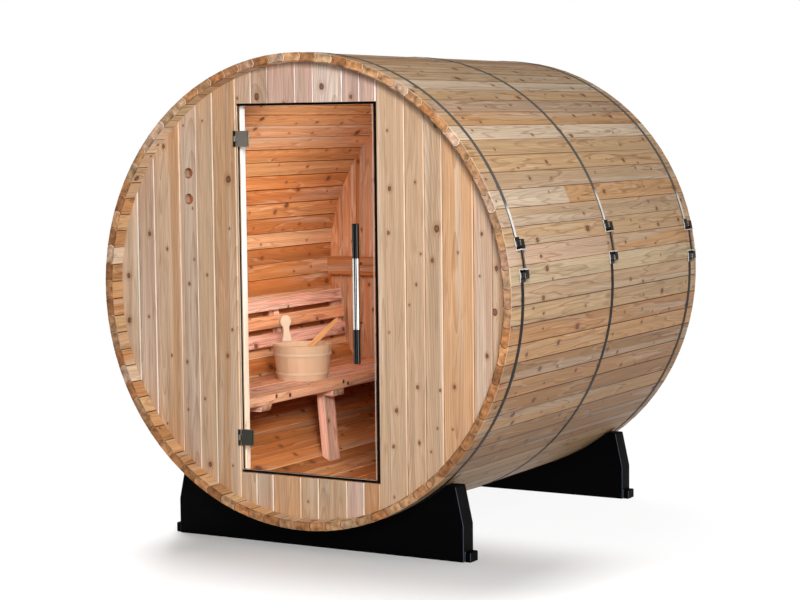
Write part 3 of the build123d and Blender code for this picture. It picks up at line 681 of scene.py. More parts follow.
class Faces(NamedTuple):
    """A board's faces: their normals along, across and out of the board, and their middles."""

    along: np.ndarray
    across: np.ndarray
    out: np.ndarray
    middle: np.ndarray


class Keep(Enum):
    """What stays after a cut: both sides, the side that the normal points to, or the other."""

    BOTH = 0
    FAR = 1
    NEAR = 2


def hold(*things: Thing) -> None:
    """Selects only these objects, in object mode.

    Args:
        things: the objects, of which the first becomes the active one.
    """
    if bpy.context.mode != "OBJECT":
        bpy.ops.object.mode_set(mode="OBJECT")
    bpy.ops.object.select_all(action="DESELECT")
    for thing in things:
        thing.select_set(True)
        bpy.context.view_layer.objects.active = things[0]


class Editing:
    """Edit mode on one object, with everything selected at first."""

    def __init__(self, thing: Thing) -> None:
        """Takes the object."""
        self.thing = thing

    def __enter__(self) -> "Editing":
        """Enters edit mode.

        Returns:
            Itself, to be used in the with block.
        """
        hold(self.thing)
        bpy.ops.object.mode_set(mode="EDIT")
        bpy.ops.mesh.select_mode(type="VERT")
        bpy.ops.mesh.select_all(action="SELECT")
        return self

    def __exit__(self, *_: object) -> None:
        """Leaves edit mode."""
        bpy.ops.object.mode_set(mode="OBJECT")

    def pick(self, kind: str, test: Test) -> None:
        """Selects only what passes a test.

        Args:
            kind: VERT or EDGE.
            test: is given each vertex or edge.
        """
        bpy.ops.mesh.select_mode(type=kind)
        bpy.ops.mesh.select_all(action="DESELECT")
        shape = bmesh.from_edit_mesh(self.thing.data)
        for element in {"VERT": shape.verts, "EDGE": shape.edges}[kind]:
            if test(element):
                element.select_set(True)
        bmesh.update_edit_mesh(self.thing.data)

    def move(self, value: Sequence[float], test: Test) -> None:
        """Moves the vertices that pass a test."""
        self.pick("VERT", test)
        bpy.ops.transform.translate(value=value)

    def narrow(self, value: Sequence[float], about: Sequence[float], test: Test) -> None:
        """Scales the vertices that pass a test about a point."""
        self.pick("VERT", test)
        bpy.ops.transform.resize(value=value, center_override=about)

    def plane(self, width: float, test: Test) -> None:
        """Planes the edges that pass a test."""
        self.pick("EDGE", test)
        bpy.ops.mesh.bevel(offset=width, segments=1, affect="EDGES")

    def cut(self, at: Sequence[float], normal: Sequence[float], keep: Keep = Keep.BOTH) -> None:
        """Cuts through everything along a plane.

        Args:
            at: a point of the plane.
            normal: the plane's direction.
            keep: what stays.
        """
        bpy.ops.mesh.select_all(action="SELECT")
        bpy.ops.mesh.bisect(
            plane_co=at,
            plane_no=normal,
            use_fill=keep != Keep.BOTH,
            clear_inner=keep == Keep.FAR,
            clear_outer=keep == Keep.NEAR,
        )


def placed(
    kind: str,
    place: Sequence[float],
    scale: Sequence[float] = (1.0, 1.0, 1.0),
    turn: Quaternion = Quaternion(),
    **sizes: float,
) -> Thing:
    """Adds a primitive, with its place, turn and scale in its mesh.

    Args:
        kind: the primitive, such as cube.
        place: its middle.
        scale: how far it is stretched each way.
        turn: how it is turned.
        sizes: what else its operator takes.

    Returns:
        The object.
    """
    hold()
    getattr(bpy.ops.mesh, f"primitive_{kind}_add")(location=place, **sizes)
    made = bpy.context.object
    made.rotation_mode = "QUATERNION"
    made.rotation_quaternion, made.scale = turn, scale
    hold(made)
    bpy.ops.object.transform_apply(location=True, rotation=True, scale=True)
    return made


def block(low: Sequence[float], high: Sequence[float]) -> Thing:
    """A box between two corners."""
    centre = [(a + b) / 2 for a, b in zip(low, high)]
    return placed("cube", centre, [b - a for a, b in zip(low, high)], size=1.0)


def rod(start: Sequence[float], end: Sequence[float], radius: float, sides: int) -> Thing:
    """Makes a round bar between two points.

    Args:
        start: the middle of one end.
        end: the middle of the other.
        radius: the bar's radius.
        sides: how many flat sides stand for its round one.

    Returns:
        The bar.
    """
    start, end = Vector(start), Vector(end)
    turn = (end - start).to_track_quat("Z", "Y")
    sizes = {"vertices": sides, "radius": radius, "depth": (end - start).length}
    return placed("cylinder", (start + end) / 2, turn=turn, **sizes)


def copied(thing: Thing) -> Thing:
    """Copies an object.

    Args:
        thing: the object.

    Returns:
        The copy, with a mesh of its own.
    """
    made = thing.copy()
    made.data = thing.data.copy()
    bpy.context.scene.collection.objects.link(made)
    return made


def loosened(thing: Thing) -> list[Thing]:
    """Splits an object into its loose parts.

    Args:
        thing: the object.

    Returns:
        The parts, in the order of their places.
    """
    hold(thing)
    before = set(bpy.data.objects)
    with Editing(thing):
        bpy.ops.mesh.separate(type="LOOSE")
    parts = [thing, *(o for o in bpy.data.objects if o not in before)]
    return sorted(parts, key=lambda part: [round(c, 4) for c in middle(part)])


def rows(items: Sequence, what: str, width: int = 3, kind: type = np.float32) -> np.ndarray:
    """Reads one property of all vertices, corners or faces of a mesh.

    Args:
        items: the vertices, corners or faces.
        what: the property.
        width: how many values it has.
        kind: the values' type.

    Returns:
        The values, one row each.
    """
    found = np.empty(len(items) * width, kind)
    items.foreach_get(what, found)
    return found.reshape(-1, width)


def points(thing: Thing) -> np.ndarray:
    """The vertices of an object's mesh, one row each."""
    return rows(thing.data.vertices, "co").astype(float)


def span(thing: Thing) -> tuple[np.ndarray, np.ndarray]:
    """The lower and the upper corner of an object's box."""
    co = points(thing)
    return co.min(0), co.max(0)


def middle(thing: Thing) -> Vector:
    """The middle of an object's box."""
    return Vector(sum(span(thing)) / 2)


def slotted(thing: Thing, slots: np.ndarray | Sequence[int]) -> None:
    """Sets the material slot of each face."""
    thing.data.polygons.foreach_set("material_index", np.asarray(slots, np.int32).ravel())


def applied(thing: Thing, kind: str, **settings: object) -> None:
    """Adds a modifier to an object and applies it.

    Args:
        thing: the object.
        kind: the modifier's type.
        settings: its properties.
    """
    hold(thing)
    made = thing.modifiers.new(kind.lower(), kind)
    for key, value in settings.items():
        setattr(made, key, value)
    bpy.ops.object.modifier_apply(modifier=made.name)


def eased(thing: Thing, width: float, segments: int = 2, angle: float = 35.0) -> None:
    """Rounds an object's edges that are sharper than an angle."""
    limit = {"limit_method": "ANGLE", "angle_limit": math.radians(angle)}
    applied(thing, "BEVEL", width=width, segments=segments, **limit)


def carved(thing: Thing, tool: Thing) -> None:
    """Cuts a tool's shape out of an object and removes the tool."""
    applied(thing, "BOOLEAN", operation="DIFFERENCE", solver="EXACT", object=tool)
    bpy.data.objects.remove(tool)


def dressed(thing: Thing, *finishes: Finish) -> None:
    """Gives an object its finishes and keeps each face's slot.

    Args:
        thing: the object.
        finishes: the finishes, in slot order.
    """
    slots = rows(thing.data.polygons, "material_index", 1, np.int32)
    thing.data.materials.clear()
    for finish in finishes:
        thing.data.materials.append(finish.material)
    slotted(thing, slots)


@dataclass
class Board:
    """The way that wood lies in one board."""

    along: Vector
    across: Vector
    tint: Colour
    seed: float

    def _grain(self, mesh: bpy.types.Mesh, place: np.ndarray, normal: np.ndarray) -> np.ndarray:
        """Unfolds the board into its grain map.

        Args:
            mesh: the board's mesh.
            place: its vertices, along, across and out of the board.
            normal: its faces' normals, the same way.

        Returns:
            The place on the map of each corner of each face, in metres.
        """
        low, high = place.min(0), place.max(0)
        count = rows(mesh.polygons, "loop_total", 1, np.int32)[:, 0]
        facing = np.repeat(np.abs(normal), count, axis=0)
        at = place[rows(mesh.loops, "vertex_index", 1, np.int32)[:, 0]]
        off = at[:, 1] - (low[1] + high[1]) / 2
        round_edge = np.sign(off) * ((high[1] - low[1]) / 2 + high[2] - at[:, 2])
        flat = np.stack([at[:, 0], off], 1)
        side = np.stack([at[:, 0], round_edge], 1)
        end = np.stack([off, at[:, 2] - (low[2] + high[2]) / 2], 1)
        uv = np.where((facing[:, 1] > facing[:, 2])[:, None], side, flat)
        return np.where((facing[:, 0] > END_SLOPE)[:, None], end, uv)

    def mark(self, thing: Thing, choose: Callable[[Faces], np.ndarray] | None = None) -> Thing:
        """Writes the board's grain map, tint and seed.

        Args:
            thing: the board, still an object of its own.
            choose: gives the material slot of each of its faces, or all take the first.

        Returns:
            The board.
        """
        mesh = thing.data
        axes = np.array([self.along, self.across, self.along.cross(self.across)], float).T
        normal = rows(mesh.polygons, "normal") @ axes
        centre = rows(mesh.polygons, "center") @ axes
        slotted(thing, choose(Faces(*normal.T, centre)) if choose else np.zeros(len(normal)))
        uv = self._grain(mesh, points(thing) @ axes, normal)
        for name in [layer.name for layer in mesh.uv_layers]:
            mesh.uv_layers.remove(mesh.uv_layers[name])
        mesh.uv_layers.new(name="grain").data.foreach_set("uv", uv.astype(np.float32).ravel())
        total = len(mesh.vertices)
        seeds = mesh.attributes.new("seed", "FLOAT", "POINT")
        seeds.data.foreach_set("value", np.full(total, self.seed, np.float32))
        tints = mesh.attributes.new("tint", "FLOAT_VECTOR", "POINT")
        tints.data.foreach_set("vector", np.tile(np.array(self.tint, np.float32), total))
        return thing


def by_end(faces: Faces) -> np.ndarray:
    """Chooses END for a board's sawn ends and OUTSIDE for the rest."""
    return np.where(np.abs(faces.along) > END_SLOPE, Face.END, Face.OUTSIDE)


@dataclass(frozen=True)
class Piece:
    """One piece of the finished model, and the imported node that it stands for."""

    name: str
    node: str
    slot: str
    body: str = ROOT

    def traced(self) -> Thing:
        """Copies the node's shape.

        Returns:
            The copy: merged, with its flat faces made whole.
        """
        made = bpy.data.objects.new(self.name, frame["nodes"][self.node].data.copy())
        slotted(made, np.zeros(len(made.data.polygons)))
        made.data.materials.clear()
        bpy.context.scene.collection.objects.link(made)
        with Editing(made):
            bpy.ops.mesh.remove_doubles(threshold=WELD)
            bpy.ops.mesh.dissolve_limited(angle_limit=FLAT)
            bpy.ops.mesh.normals_make_consistent(inside=False)
        return made

    def finish(self, parts: Sequence[Thing], *finishes: Finish) -> None:
        """Joins the piece, shades it smoothly but for its sharp edges, and rides it on its body.

        Args:
            parts: the objects that it is made of.
            finishes: the finishes of each of them, in slot order.
        """
        for part in parts:
            dressed(part, *finishes)
        hold(*parts)
        if len(parts) > 1:
            bpy.ops.object.join()
        piece = parts[0]
        piece.name = piece.data.name = self.name
        bpy.ops.object.shade_smooth_by_angle(angle=SMOOTH)
        applied(piece, "WEIGHTED_NORMAL", keep_sharp=True)
        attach(piece, self.body)
        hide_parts(self.node)
        LOG.info("%s: %d faces on %s", piece.name, len(piece.data.polygons), self.body)

    def plain(
        self,
        finish: Finish,
        arris: float,
        segments: int = 3,
        angle: float = 35.0,
        grain: Board | None = None,
    ) -> None:
        """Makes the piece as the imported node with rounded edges.

        Args:
            finish: its only finish.
            arris: how far its edges are rounded.
            segments: in how many steps.
            angle: the least angle of an edge that is rounded, in degrees.
            grain: how its wood lies, if it is of wood.
        """
        thing = self.traced()
        eased(thing, arris, segments, angle)
        if grain is not None:
            grain.mark(thing)
        self.finish([thing], finish)


# ---------------- barrel of staves
@dataclass
class Barrel:
    """The barrel: bead-and-cove staves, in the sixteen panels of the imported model."""

    count: int = 80
    per_panel: int = 5
    phase: float = 3.15
    outer: float = 0.9145
    thickness: float = 0.035
    length: float = 1.7778
    axis: float = 1.0
    gap: float = 0.00025
    bead: float = 0.0075
    bead_half: float = 0.0145
    arris: float = 0.0015
    end_arris: float = 0.0018
    inner_arris: float = 0.0020
    croze_radius: float = 0.8895
    croze_places: tuple[float, float] = (-0.802, 0.802)
    croze_width: float = 0.0386
    inner_edge: float = 0.001
    sloped: float = 0.3
    steep: float = 0.9
    tints: str = (
        "PRSGMGSSMHTSMSSHTPHSMTRHTSHPPMMSPHTSTMBH"
        "TSGTMTSHTHBTHBSTHBSTHSPSTSSHSBBBHBTBHTSG"
    )
    splits: tuple[tuple[int, float], ...] = ((4, -0.26), (1, -0.015), (23, 0.32))

    def _swell(self, edit: Editing, level: float) -> None:
        """Rounds a stave's two sides, one into a bead and the other into its cove.

        Args:
            edit: edit mode on the stave.
            level: the height of the middle of its sides.
        """
        radius = (self.bead_half**2 + self.bead**2) / (2 * self.bead)
        offsets = [math.sin(math.radians(turn)) * self.bead_half for turn in range(-90, 91, 18)]
        for offset in offsets:
            edit.cut((0.0, 0.0, level + offset), UP)
        for offset in offsets[1:-1]:
            row = level + offset
            bulge = math.sqrt(radius**2 - offset**2) - radius + self.bead
            edit.move((bulge, 0.0, 0.0), lambda vert: abs(vert.co.z - row) < HAIR)
            ease = (self.gap * 1.2, 0.0, 0.0)
            edit.move(ease, lambda vert: abs(vert.co.z - row) < HAIR and vert.co.x < 0)

    def master(self) -> Thing:
        """Makes one stave on top of the barrel, lying along Y.

        Returns:
            The stave, with its centre line over the axis.
        """
        half = math.tau / self.count / 2
        top = self.outer * math.cos(half)
        low = self.outer - self.thickness
        half_top, half_low = (level * math.tan(half) - self.gap for level in (top, low))
        level, tip = (low + top) / 2, self.length / 2
        stave = block((-half_top, -tip, low), (half_top, tip, top))
        with Editing(stave) as edit:
            squeeze = (half_low / half_top, 1.0, 1.0)
            edit.narrow(squeeze, (0.0, 0.0, low), lambda vert: vert.co.z < level)
            self._swell(edit, level)
        for place in self.croze_places:
            ends = [(0.0, place + side * self.croze_width / 2, 0.0) for side in (-1, 1)]
            carved(stave, rod(*ends, self.croze_radius, sides=256))
        foot, end = low + HAIR, tip - HAIR
        with Editing(stave) as edit:
            edit.plane(self.inner_arris, lambda edge: all(v.co.z < foot for v in edge.verts))
            edit.plane(self.end_arris, lambda edge: all(abs(v.co.y) > end for v in edge.verts))
        eased(stave, self.arris, 1, SHARP)
        return stave

    def choose(self, lower: bool, faces: Faces) -> np.ndarray:
        """Chooses the slot of each face of a stave.

        Args:
            lower: whether it is in the barrel's lower half, whose joints get no painted highlight.
            faces: its faces, with out away from the barrel's axis.

        Returns:
            The slots.
        """
        along, across, out, centre = faces
        wall = max(self.croze_places) + self.croze_width / 2 - self.inner_edge
        indoors = (out < -0.1) & (np.abs(centre[:, 0]) < wall)
        # Painted light: one chamfer of each joint gets a painted highlight and the other painted
        # shade in the dark joint colour; in the lower half both get the dark colour. The ends'
        # chamfers get the painted highlight.
        light = Face.JOINT if lower else Face.EDGE
        slots = np.where(indoors, Face.INSIDE, Face.OUTSIDE)
        for there, slot in (
            (across < -self.sloped, np.where(indoors, Face.INSIDE_JOINT, Face.JOINT)),
            (across > self.sloped, np.where(indoors, Face.INSIDE_EDGE, light)),
            (np.abs(across) > self.steep, Face.JOINT),
            (np.abs(along) > self.sloped, np.where(across > self.sloped, Face.JOINT, Face.EDGE)),
            (np.abs(along) > self.steep, Face.END),
        ):
            slots = np.where(there, slot, slots)
        return slots

    def boards(self, master: Thing, number: int) -> list[Thing]:
        """Copies the master stave.

        Args:
            master: the master stave.
            number: the stave's number.

        Returns:
            The one or two boards that the stave is made of.
        """
        place = dict(self.splits).get(number)
        if place is None:
            return [copied(master)]
        boards = [copied(master), copied(master)]
        for board, keep, shift in zip(boards, (Keep.NEAR, Keep.FAR), (-self.gap, self.gap)):
            with Editing(board) as edit:
                edit.cut((0.0, place + shift / 2, 0.0), BACK, keep)
        return boards

    def build(self) -> None:
        """Makes all sixteen panels."""
        dice = random.Random(7)
        master = self.master()
        tints = Tint.row(self.tints)
        use = Finishes
        edges = (use.cedar_joint, use.stave_edge, use.inside_joint, use.inside_edge)
        for panel in range(self.count // self.per_panel):
            made = []
            for number in range(panel * self.per_panel, (panel + 1) * self.per_panel):
                angle = math.radians(self.phase) + math.tau / self.count * (number + 0.5)
                turn = Matrix.Rotation(math.pi / 2 - angle, 4, "Y")
                choose = partial(self.choose, math.pi < angle % math.tau)
                tint = tints[number]
                for board in self.boards(master, number):
                    seed = number + 0.5 + 0.37 * len(made)
                    Board(BACK, -RIGHT, toned(tint, dice), seed).mark(board, choose)
                    board.data.transform(Matrix.Translation((0.0, 0.0, self.axis)) @ turn)
                    made.append(board)
                    tint = Tint.HONEY
            piece = Piece(f"staves_{panel + 1:02d}", f"stave_panel_{panel + 1:02d}", "cedar")
            piece.finish(made, use.stave_cedar, use.end_grain, use.cedar_inside, *edges)
        bpy.data.objects.remove(master)


# ---------------- end walls
@dataclass
class EndWalls:
    """The two recessed walls of upright boards, and the rail across the back one."""

    joints: tuple[float, ...] = (
        -0.796, -0.713, -0.587, -0.504, -0.426, -0.317, -0.242, -0.166, -0.0385, 0.042, 0.1705,
        0.2465, 0.317, 0.438, 0.520, 0.595, 0.723, 0.800, 0.846,
    )
    tints: str = "PGHGSHGGRRMRRSSSHGHH"
    low_tints: str = "PGHGSHSGHSSRTSSSHGHH"
    back_joints: tuple[float, ...] = (
        -0.813, -0.738, -0.704, -0.600, -0.520, -0.394, -0.314, -0.234, -0.108, -0.028, 0.052,
        0.178, 0.258, 0.338, 0.464, 0.544, 0.624, 0.750, 0.830,
    )
    back_tints: tuple[Tint, ...] = (Tint.GREIGE, Tint.HONEY, Tint.TAN, Tint.ROSE)
    gap: float = 0.0003
    arris: float = 0.0036
    rim: float = 0.0008
    rail_arris: float = 0.003
    least_width: float = 0.002
    least_upright: float = 0.03
    stray: float = 0.0001

    @staticmethod
    def choose(faces: Faces) -> np.ndarray:
        """Chooses the slot of each face of a board.

        Args:
            faces: the board's faces, with out as the wall's outer face looks.

        Returns:
            The slots.
        """
        planed = (np.abs(faces.across) > 0.3) & (faces.out > 0.2)
        slots = np.where(faces.out < 0, Face.INSIDE, Face.OUTSIDE)
        # Painted light: of each joint's two chamfers, one gets the pale edge finish as a painted
        # highlight and the other the dark joint colour as painted shade.
        slots = np.where(planed, np.where(faces.across < 0, Face.EDGE, Face.JOINT), slots)
        return np.where(np.abs(faces.along) > END_SLOPE, Face.END, slots)

    def plane(self, board: Thing) -> None:
        """Planes the long upright edges of a board.

        Args:
            board: the board.
        """
        sides = [corner[0] for corner in span(board)]

        def upright(edge: bmesh.types.BMEdge) -> bool:
            """Tells whether an edge is to be planed.

            Args:
                edge: the edge.

            Returns:
                Whether it stands upright at one side of the board.
            """
            first, second = (vert.co for vert in edge.verts)
            off = min(max(abs(first.x - side), abs(second.x - side)) for side in sides)
            return off < HAIR and abs(first.z - second.z) > self.least_upright

        with Editing(board) as edit:
            edit.plane(self.arris, upright)
            bpy.ops.mesh.select_all(action="SELECT")
            bpy.ops.mesh.remove_doubles(threshold=self.stray)
        eased(board, self.rim, 1, SHARP)

    def boards(self, wall: Thing, joints: Sequence[float]) -> dict[int, Thing]:
        """Cuts a wall into its boards.

        Args:
            wall: the whole wall, which is removed.
            joints: the places of the joints between boards.

        Returns:
            The boards by number, from the left.
        """
        low, high = (corner[0] for corner in span(wall))
        low, high = low + self.least_width, high - self.least_width
        edges = (-math.inf, *joints, math.inf)
        made = {}
        for number, (start, end) in enumerate(zip(edges, edges[1:])):
            if end <= low or start >= high:
                continue
            made[number] = copied(wall)
            with Editing(made[number]) as edit:
                if start > low:
                    edit.cut((start + self.gap, 0.0, 0.0), RIGHT, Keep.FAR)
                if end < high:
                    edit.cut((end - self.gap, 0.0, 0.0), RIGHT, Keep.NEAR)
            self.plane(made[number])
        bpy.data.objects.remove(wall)
        return made

    def wall(
        self,
        node: str,
        seed: float,
        dice: random.Random,
        tints: Sequence[Tint] = (),
        edge: Finish = Finishes.planed_edge,
    ) -> None:
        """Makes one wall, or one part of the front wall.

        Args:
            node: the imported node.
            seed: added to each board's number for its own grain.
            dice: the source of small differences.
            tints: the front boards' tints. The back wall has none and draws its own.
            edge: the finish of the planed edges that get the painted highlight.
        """
        piece = Piece(f"{node}_boards", node, "cedar")
        boards = self.boards(piece.traced(), self.joints if tints else self.back_joints)
        across = -RIGHT if tints else RIGHT
        for number, board in boards.items():
            tint = toned(tints[number] if tints else dice.choice(self.back_tints), dice)
            Board(UP, across, tint, seed + number).mark(board, self.choose)
        use = Finishes
        sides = (use.cedar, use.end_grain, use.cedar_inside, use.cedar_joint)
        piece.finish([*boards.values()], *sides, edge)

    def build(self) -> None:
        """Makes the walls and the rail."""
        dice = random.Random(21)
        tints = Tint.row(self.tints)
        self.wall("front_wall_left", 100.3, dice, tints)
        self.wall("front_wall_right", 140.3, dice, tints, Finishes.warm_edge)
        self.wall("front_wall_top", 180.7, dice, tints)
        self.wall("front_wall_bottom", 220.1, dice, Tint.row(self.low_tints))
        self.wall("back_wall", 300.9, dice)
        piece = Piece("back_wall_rail", "back_wall_batten", "cedar_inside")
        rail = piece.traced()
        eased(rail, self.rail_arris)
        Board(RIGHT, UP, toned(Tint.BROWN, dice), 331.0).mark(rail, by_end)
        piece.finish([rail], Finishes.cedar_inside, Finishes.end_grain)


# ---------------- doorway
@dataclass
class Doorway:
    """The framing round the doorway inside, and the black seal that the door closes on."""

    arris: float = 0.0025
    seal_arris: float = 0.0016

    def build(self) -> None:
        """Makes the framing and the seal."""
        dice = random.Random(33)
        piece = Piece("doorway_framing", "door_frame", "cedar_inside")
        parts = loosened(piece.traced())
        for number, part in enumerate(parts):
            eased(part, self.arris)
            low, high = span(part)
            along = UP if high[2] - low[2] > high[0] - low[0] else RIGHT
            Board(along, BACK, toned(Tint.PALE, dice), 341.0 + number).mark(part, by_end)
        piece.finish(parts, Finishes.jamb_cedar, Finishes.end_grain)
        Piece("doorway_seal", "door_seal", "seal_rubber").plain(Finishes.rubber, self.seal_arris)


# ---------------- door
@dataclass
class Door:
    """The glass door, with its hinges and its pull handle."""

    low_tint: Colour = shade(50, 48, 38)
    high_tint: Colour = shade(124, 116, 108)
    leaf_tint: Colour = shade(20, 18, 16)
    glass_arris: float = 0.0012
    plate_arris: float = 0.0008
    tube_arris: float = 0.0006
    grip_arris: float = 0.0018

    def pane(self) -> None:
        """Makes the pane, with polished edges."""
        piece = Piece("door_pane", "door_glass", "clear_glass", DOOR)
        pane = block(*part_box("door_glass"))
        eased(pane, self.glass_arris)
        normal = rows(pane.data.polygons, "normal")
        slotted(pane, np.abs(normal[:, 1]) < 0.9)
        piece.finish([pane], Finishes.glass, Finishes.glass_edge)

    @staticmethod
    def by_slope(faces: Faces) -> np.ndarray:
        """Chooses slot 1, a painted highlight, for a plate's eased edges, and 0 for its faces."""
        return np.abs(faces[:3]).max(0) < 0.97

    def hinges(self) -> None:
        """Makes the clamps on the glass and the leaves on the wall."""
        for name, body in (("glass_clamps", DOOR), ("wall_leaves", ROOT)):
            piece = Piece(f"door_hinge_{name}", f"hinge_{name}", "hinge_metal", body)
            parts = loosened(piece.traced())
            for part in parts:
                eased(part, self.plate_arris)
                tint, choose = self.leaf_tint, None
                if body == DOOR:
                    # Painted light: the upper clamps get a lighter tint than the lower ones of the
                    # same metal.
                    tint = self.high_tint if middle(part).z > 1.0 else self.low_tint
                    choose = self.by_slope
                Board(UP, RIGHT, tint, 1.0).mark(part, choose)
            piece.finish(parts, Finishes.hinge, Finishes.hinge_edge)

    def build(self) -> None:
        """Makes the door, its hinges, its chrome handle and the handle's black grips."""
        self.pane()
        self.hinges()
        tube = Piece("door_handle_tube", "handle_tube", "chrome", DOOR)
        tube.plain(Finishes.chrome, self.tube_arris, 2)
        grips = Piece("door_handle_grips", "handle_grips", "grip_plastic", DOOR)
        grips.plain(Finishes.grip, self.grip_arris)


# ---------------- hoops
@dataclass
class Hoops:
    """The three steel bands and the tensioners that draw them tight."""

    names: tuple[str, ...] = ("front", "middle", "rear")
    plate_arris: float = 0.0013
    rod_off: float = 0.012
    rim: float = 0.0050
    flange: float = 0.0080
    dark_width: float = 0.0035
    bright_span: tuple[float, float] = (-0.01, 0.11)

    def build(self) -> None:
        """Dresses the bands and makes the tensioners."""
        for name in self.names:
            node = f"{name}_band"
            low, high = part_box(f"{node}_tensioner")
            band = frame["nodes"][node]
            # Heights of the band's painted reflections, from the tensioner's top.
            bright = (high.z + off for off in self.bright_span)
            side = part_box(node)[0].y + self.dark_width
            dressed(band, Strap(f"band_steel_{name}", *bright, side))
            self.tensioner(f"{node}_tensioner", ((low + high) / 2).z)

    def tensioner(self, node: str, level: float) -> None:
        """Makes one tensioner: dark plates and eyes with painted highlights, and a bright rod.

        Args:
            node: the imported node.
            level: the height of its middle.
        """
        piece = Piece(f"{node}_steel", node, "zinc_steel")
        parts = loosened(piece.traced())
        light, dark, bar = range(3)
        for part in parts:
            eased(part, self.plate_arris, 1, SHARP)
            at = rows(part.data.polygons, "center")
            slots = np.full(len(at), bar)
            if abs(middle(part).z - level) > self.rod_off:
                low, high = span(part)
                inner = min(low[2], high[2], key=lambda end: abs(end - level))
                # Painted highlight: light zinc along the plate's front rim and round its inner
                # flange, dark zinc on the rest.
                bright = (at[:, 1] < low[1] + self.rim) | (np.abs(at[:, 2] - inner) < self.flange)
                slots = np.where(bright & (at[:, 1] < high[1] - self.flange), light, dark)
            slotted(part, slots)
        piece.finish(parts, Finishes.zinc, Finishes.dark_zinc, Finishes.rod_steel)


# ---------------- cradles
@dataclass
class Cradles:
    """The two moulded cradles."""

    arris: float = 0.004
    painted_highlight_slope: float = 0.35

    def build(self) -> None:
        """Makes both cradles, with a painted highlight on their upright corners."""
        for node in ("front_cradle", "rear_cradle"):
            piece = Piece(f"{node}_moulding", node, "cradle_plastic")
            cradle = piece.traced()
            eased(cradle, self.arris, 3)
            normal = np.abs(rows(cradle.data.polygons, "normal"))
            # Painted highlight: faces sloping both ways, on the eased upright corners, take the
            # light finish.
            slotted(cradle, (normal[:, :2] > self.painted_highlight_slope).all(1))
            piece.finish([cradle], Finishes.cradle, Finishes.cradle_edge)


# ---------------- bench
@dataclass
class Bench:
    """The slatted bench, its bearers and leg, and the backrest."""

    leg_lean: float = 5.3
    rest_lean: float = 8.4
    edge: float = -0.348
    plug_radius: float = 0.0088
    plug_depth: float = 0.004
    plug_places: tuple[tuple[float, float], ...] = (
        (-0.512, 0.541), (-0.409, 0.533), (0.013, 0.541), (0.050, 0.530),
    )

    def drill(self, slat: Thing) -> None:
        """Sinks the screw holes into the front edge of the front slat.

        Args:
            slat: the slat.
        """
        start, end = self.edge - self.plug_depth, self.edge + 0.01
        radius = self.plug_radius
        holes = [rod((start, y, z), (end, y, z), radius, sides=20) for y, z in self.plug_places]
        hold(*holes)
        bpy.ops.object.join()
        carved(slat, holes[0])

    def by_hole(self, faces: Faces) -> np.ndarray:
        """Chooses the slot of each face of the drilled slat.

        Args:
            faces: the slat's faces.

        Returns:
            INSIDE for the holes, and for the rest what by_end says.
        """
        y, x, down = faces.middle.T
        near = [np.hypot(y - a, -down - b) < self.plug_radius * 1.05 for a, b in self.plug_places]
        drilled = np.any(near, axis=0) & (x < self.edge - 0.0005)
        return np.where(drilled, Face.INSIDE, by_end(faces))

    def boards(
        self,
        name: str,
        node: str,
        along: Vector,
        across: Vector,
        tints: str,
        seed: float,
        arris: float = 0.003,
    ) -> None:
        """Makes the boards that stand for one node.

        Args:
            name: the piece's name.
            node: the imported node.
            along: the way of the grain.
            across: the way across the boards' faces.
            tints: the tints' first letters, in order of place.
            seed: the first board's number.
            arris: how far their edges are rounded.
        """
        piece = Piece(name, node, "cedar_inside")
        dice = random.Random(seed)
        parts = loosened(piece.traced())
        for number, part in enumerate(parts):
            eased(part, arris)
            front = node == "bench_seat_slats" and span(part)[1][0] > self.edge - 0.001
            if front:
                self.drill(part)
            tint = toned(Tint.row(tints)[number % len(tints)], dice)
            choose = self.by_hole if front else by_end
            Board(along, across, tint, seed + number).mark(part, choose)
        piece.finish(parts, Finishes.bench_cedar, Finishes.end_grain, Finishes.plug)

    def build(self) -> None:
        """Makes the bench and the backrest."""
        leg, rest = (
            Vector((math.sin(lean), 0.0, -math.cos(lean)))
            for lean in map(math.radians, (self.leg_lean, self.rest_lean))
        )
        self.boards("bench_slats", "bench_seat_slats", BACK, RIGHT, "BHRS", 400.2)
        self.boards("bench_bearer_boards", "bench_bearers", RIGHT, BACK, "R", 420.2)
        self.boards("bench_leg_board", "bench_leg", leg, BACK, "R", 430.6)
        self.boards("backrest_boards", "backrest_slats", BACK, rest, "RHR", 440.4, 0.004)
        self.boards("backrest_blocks", "backrest_supports", UP, BACK, "P", 450.4)


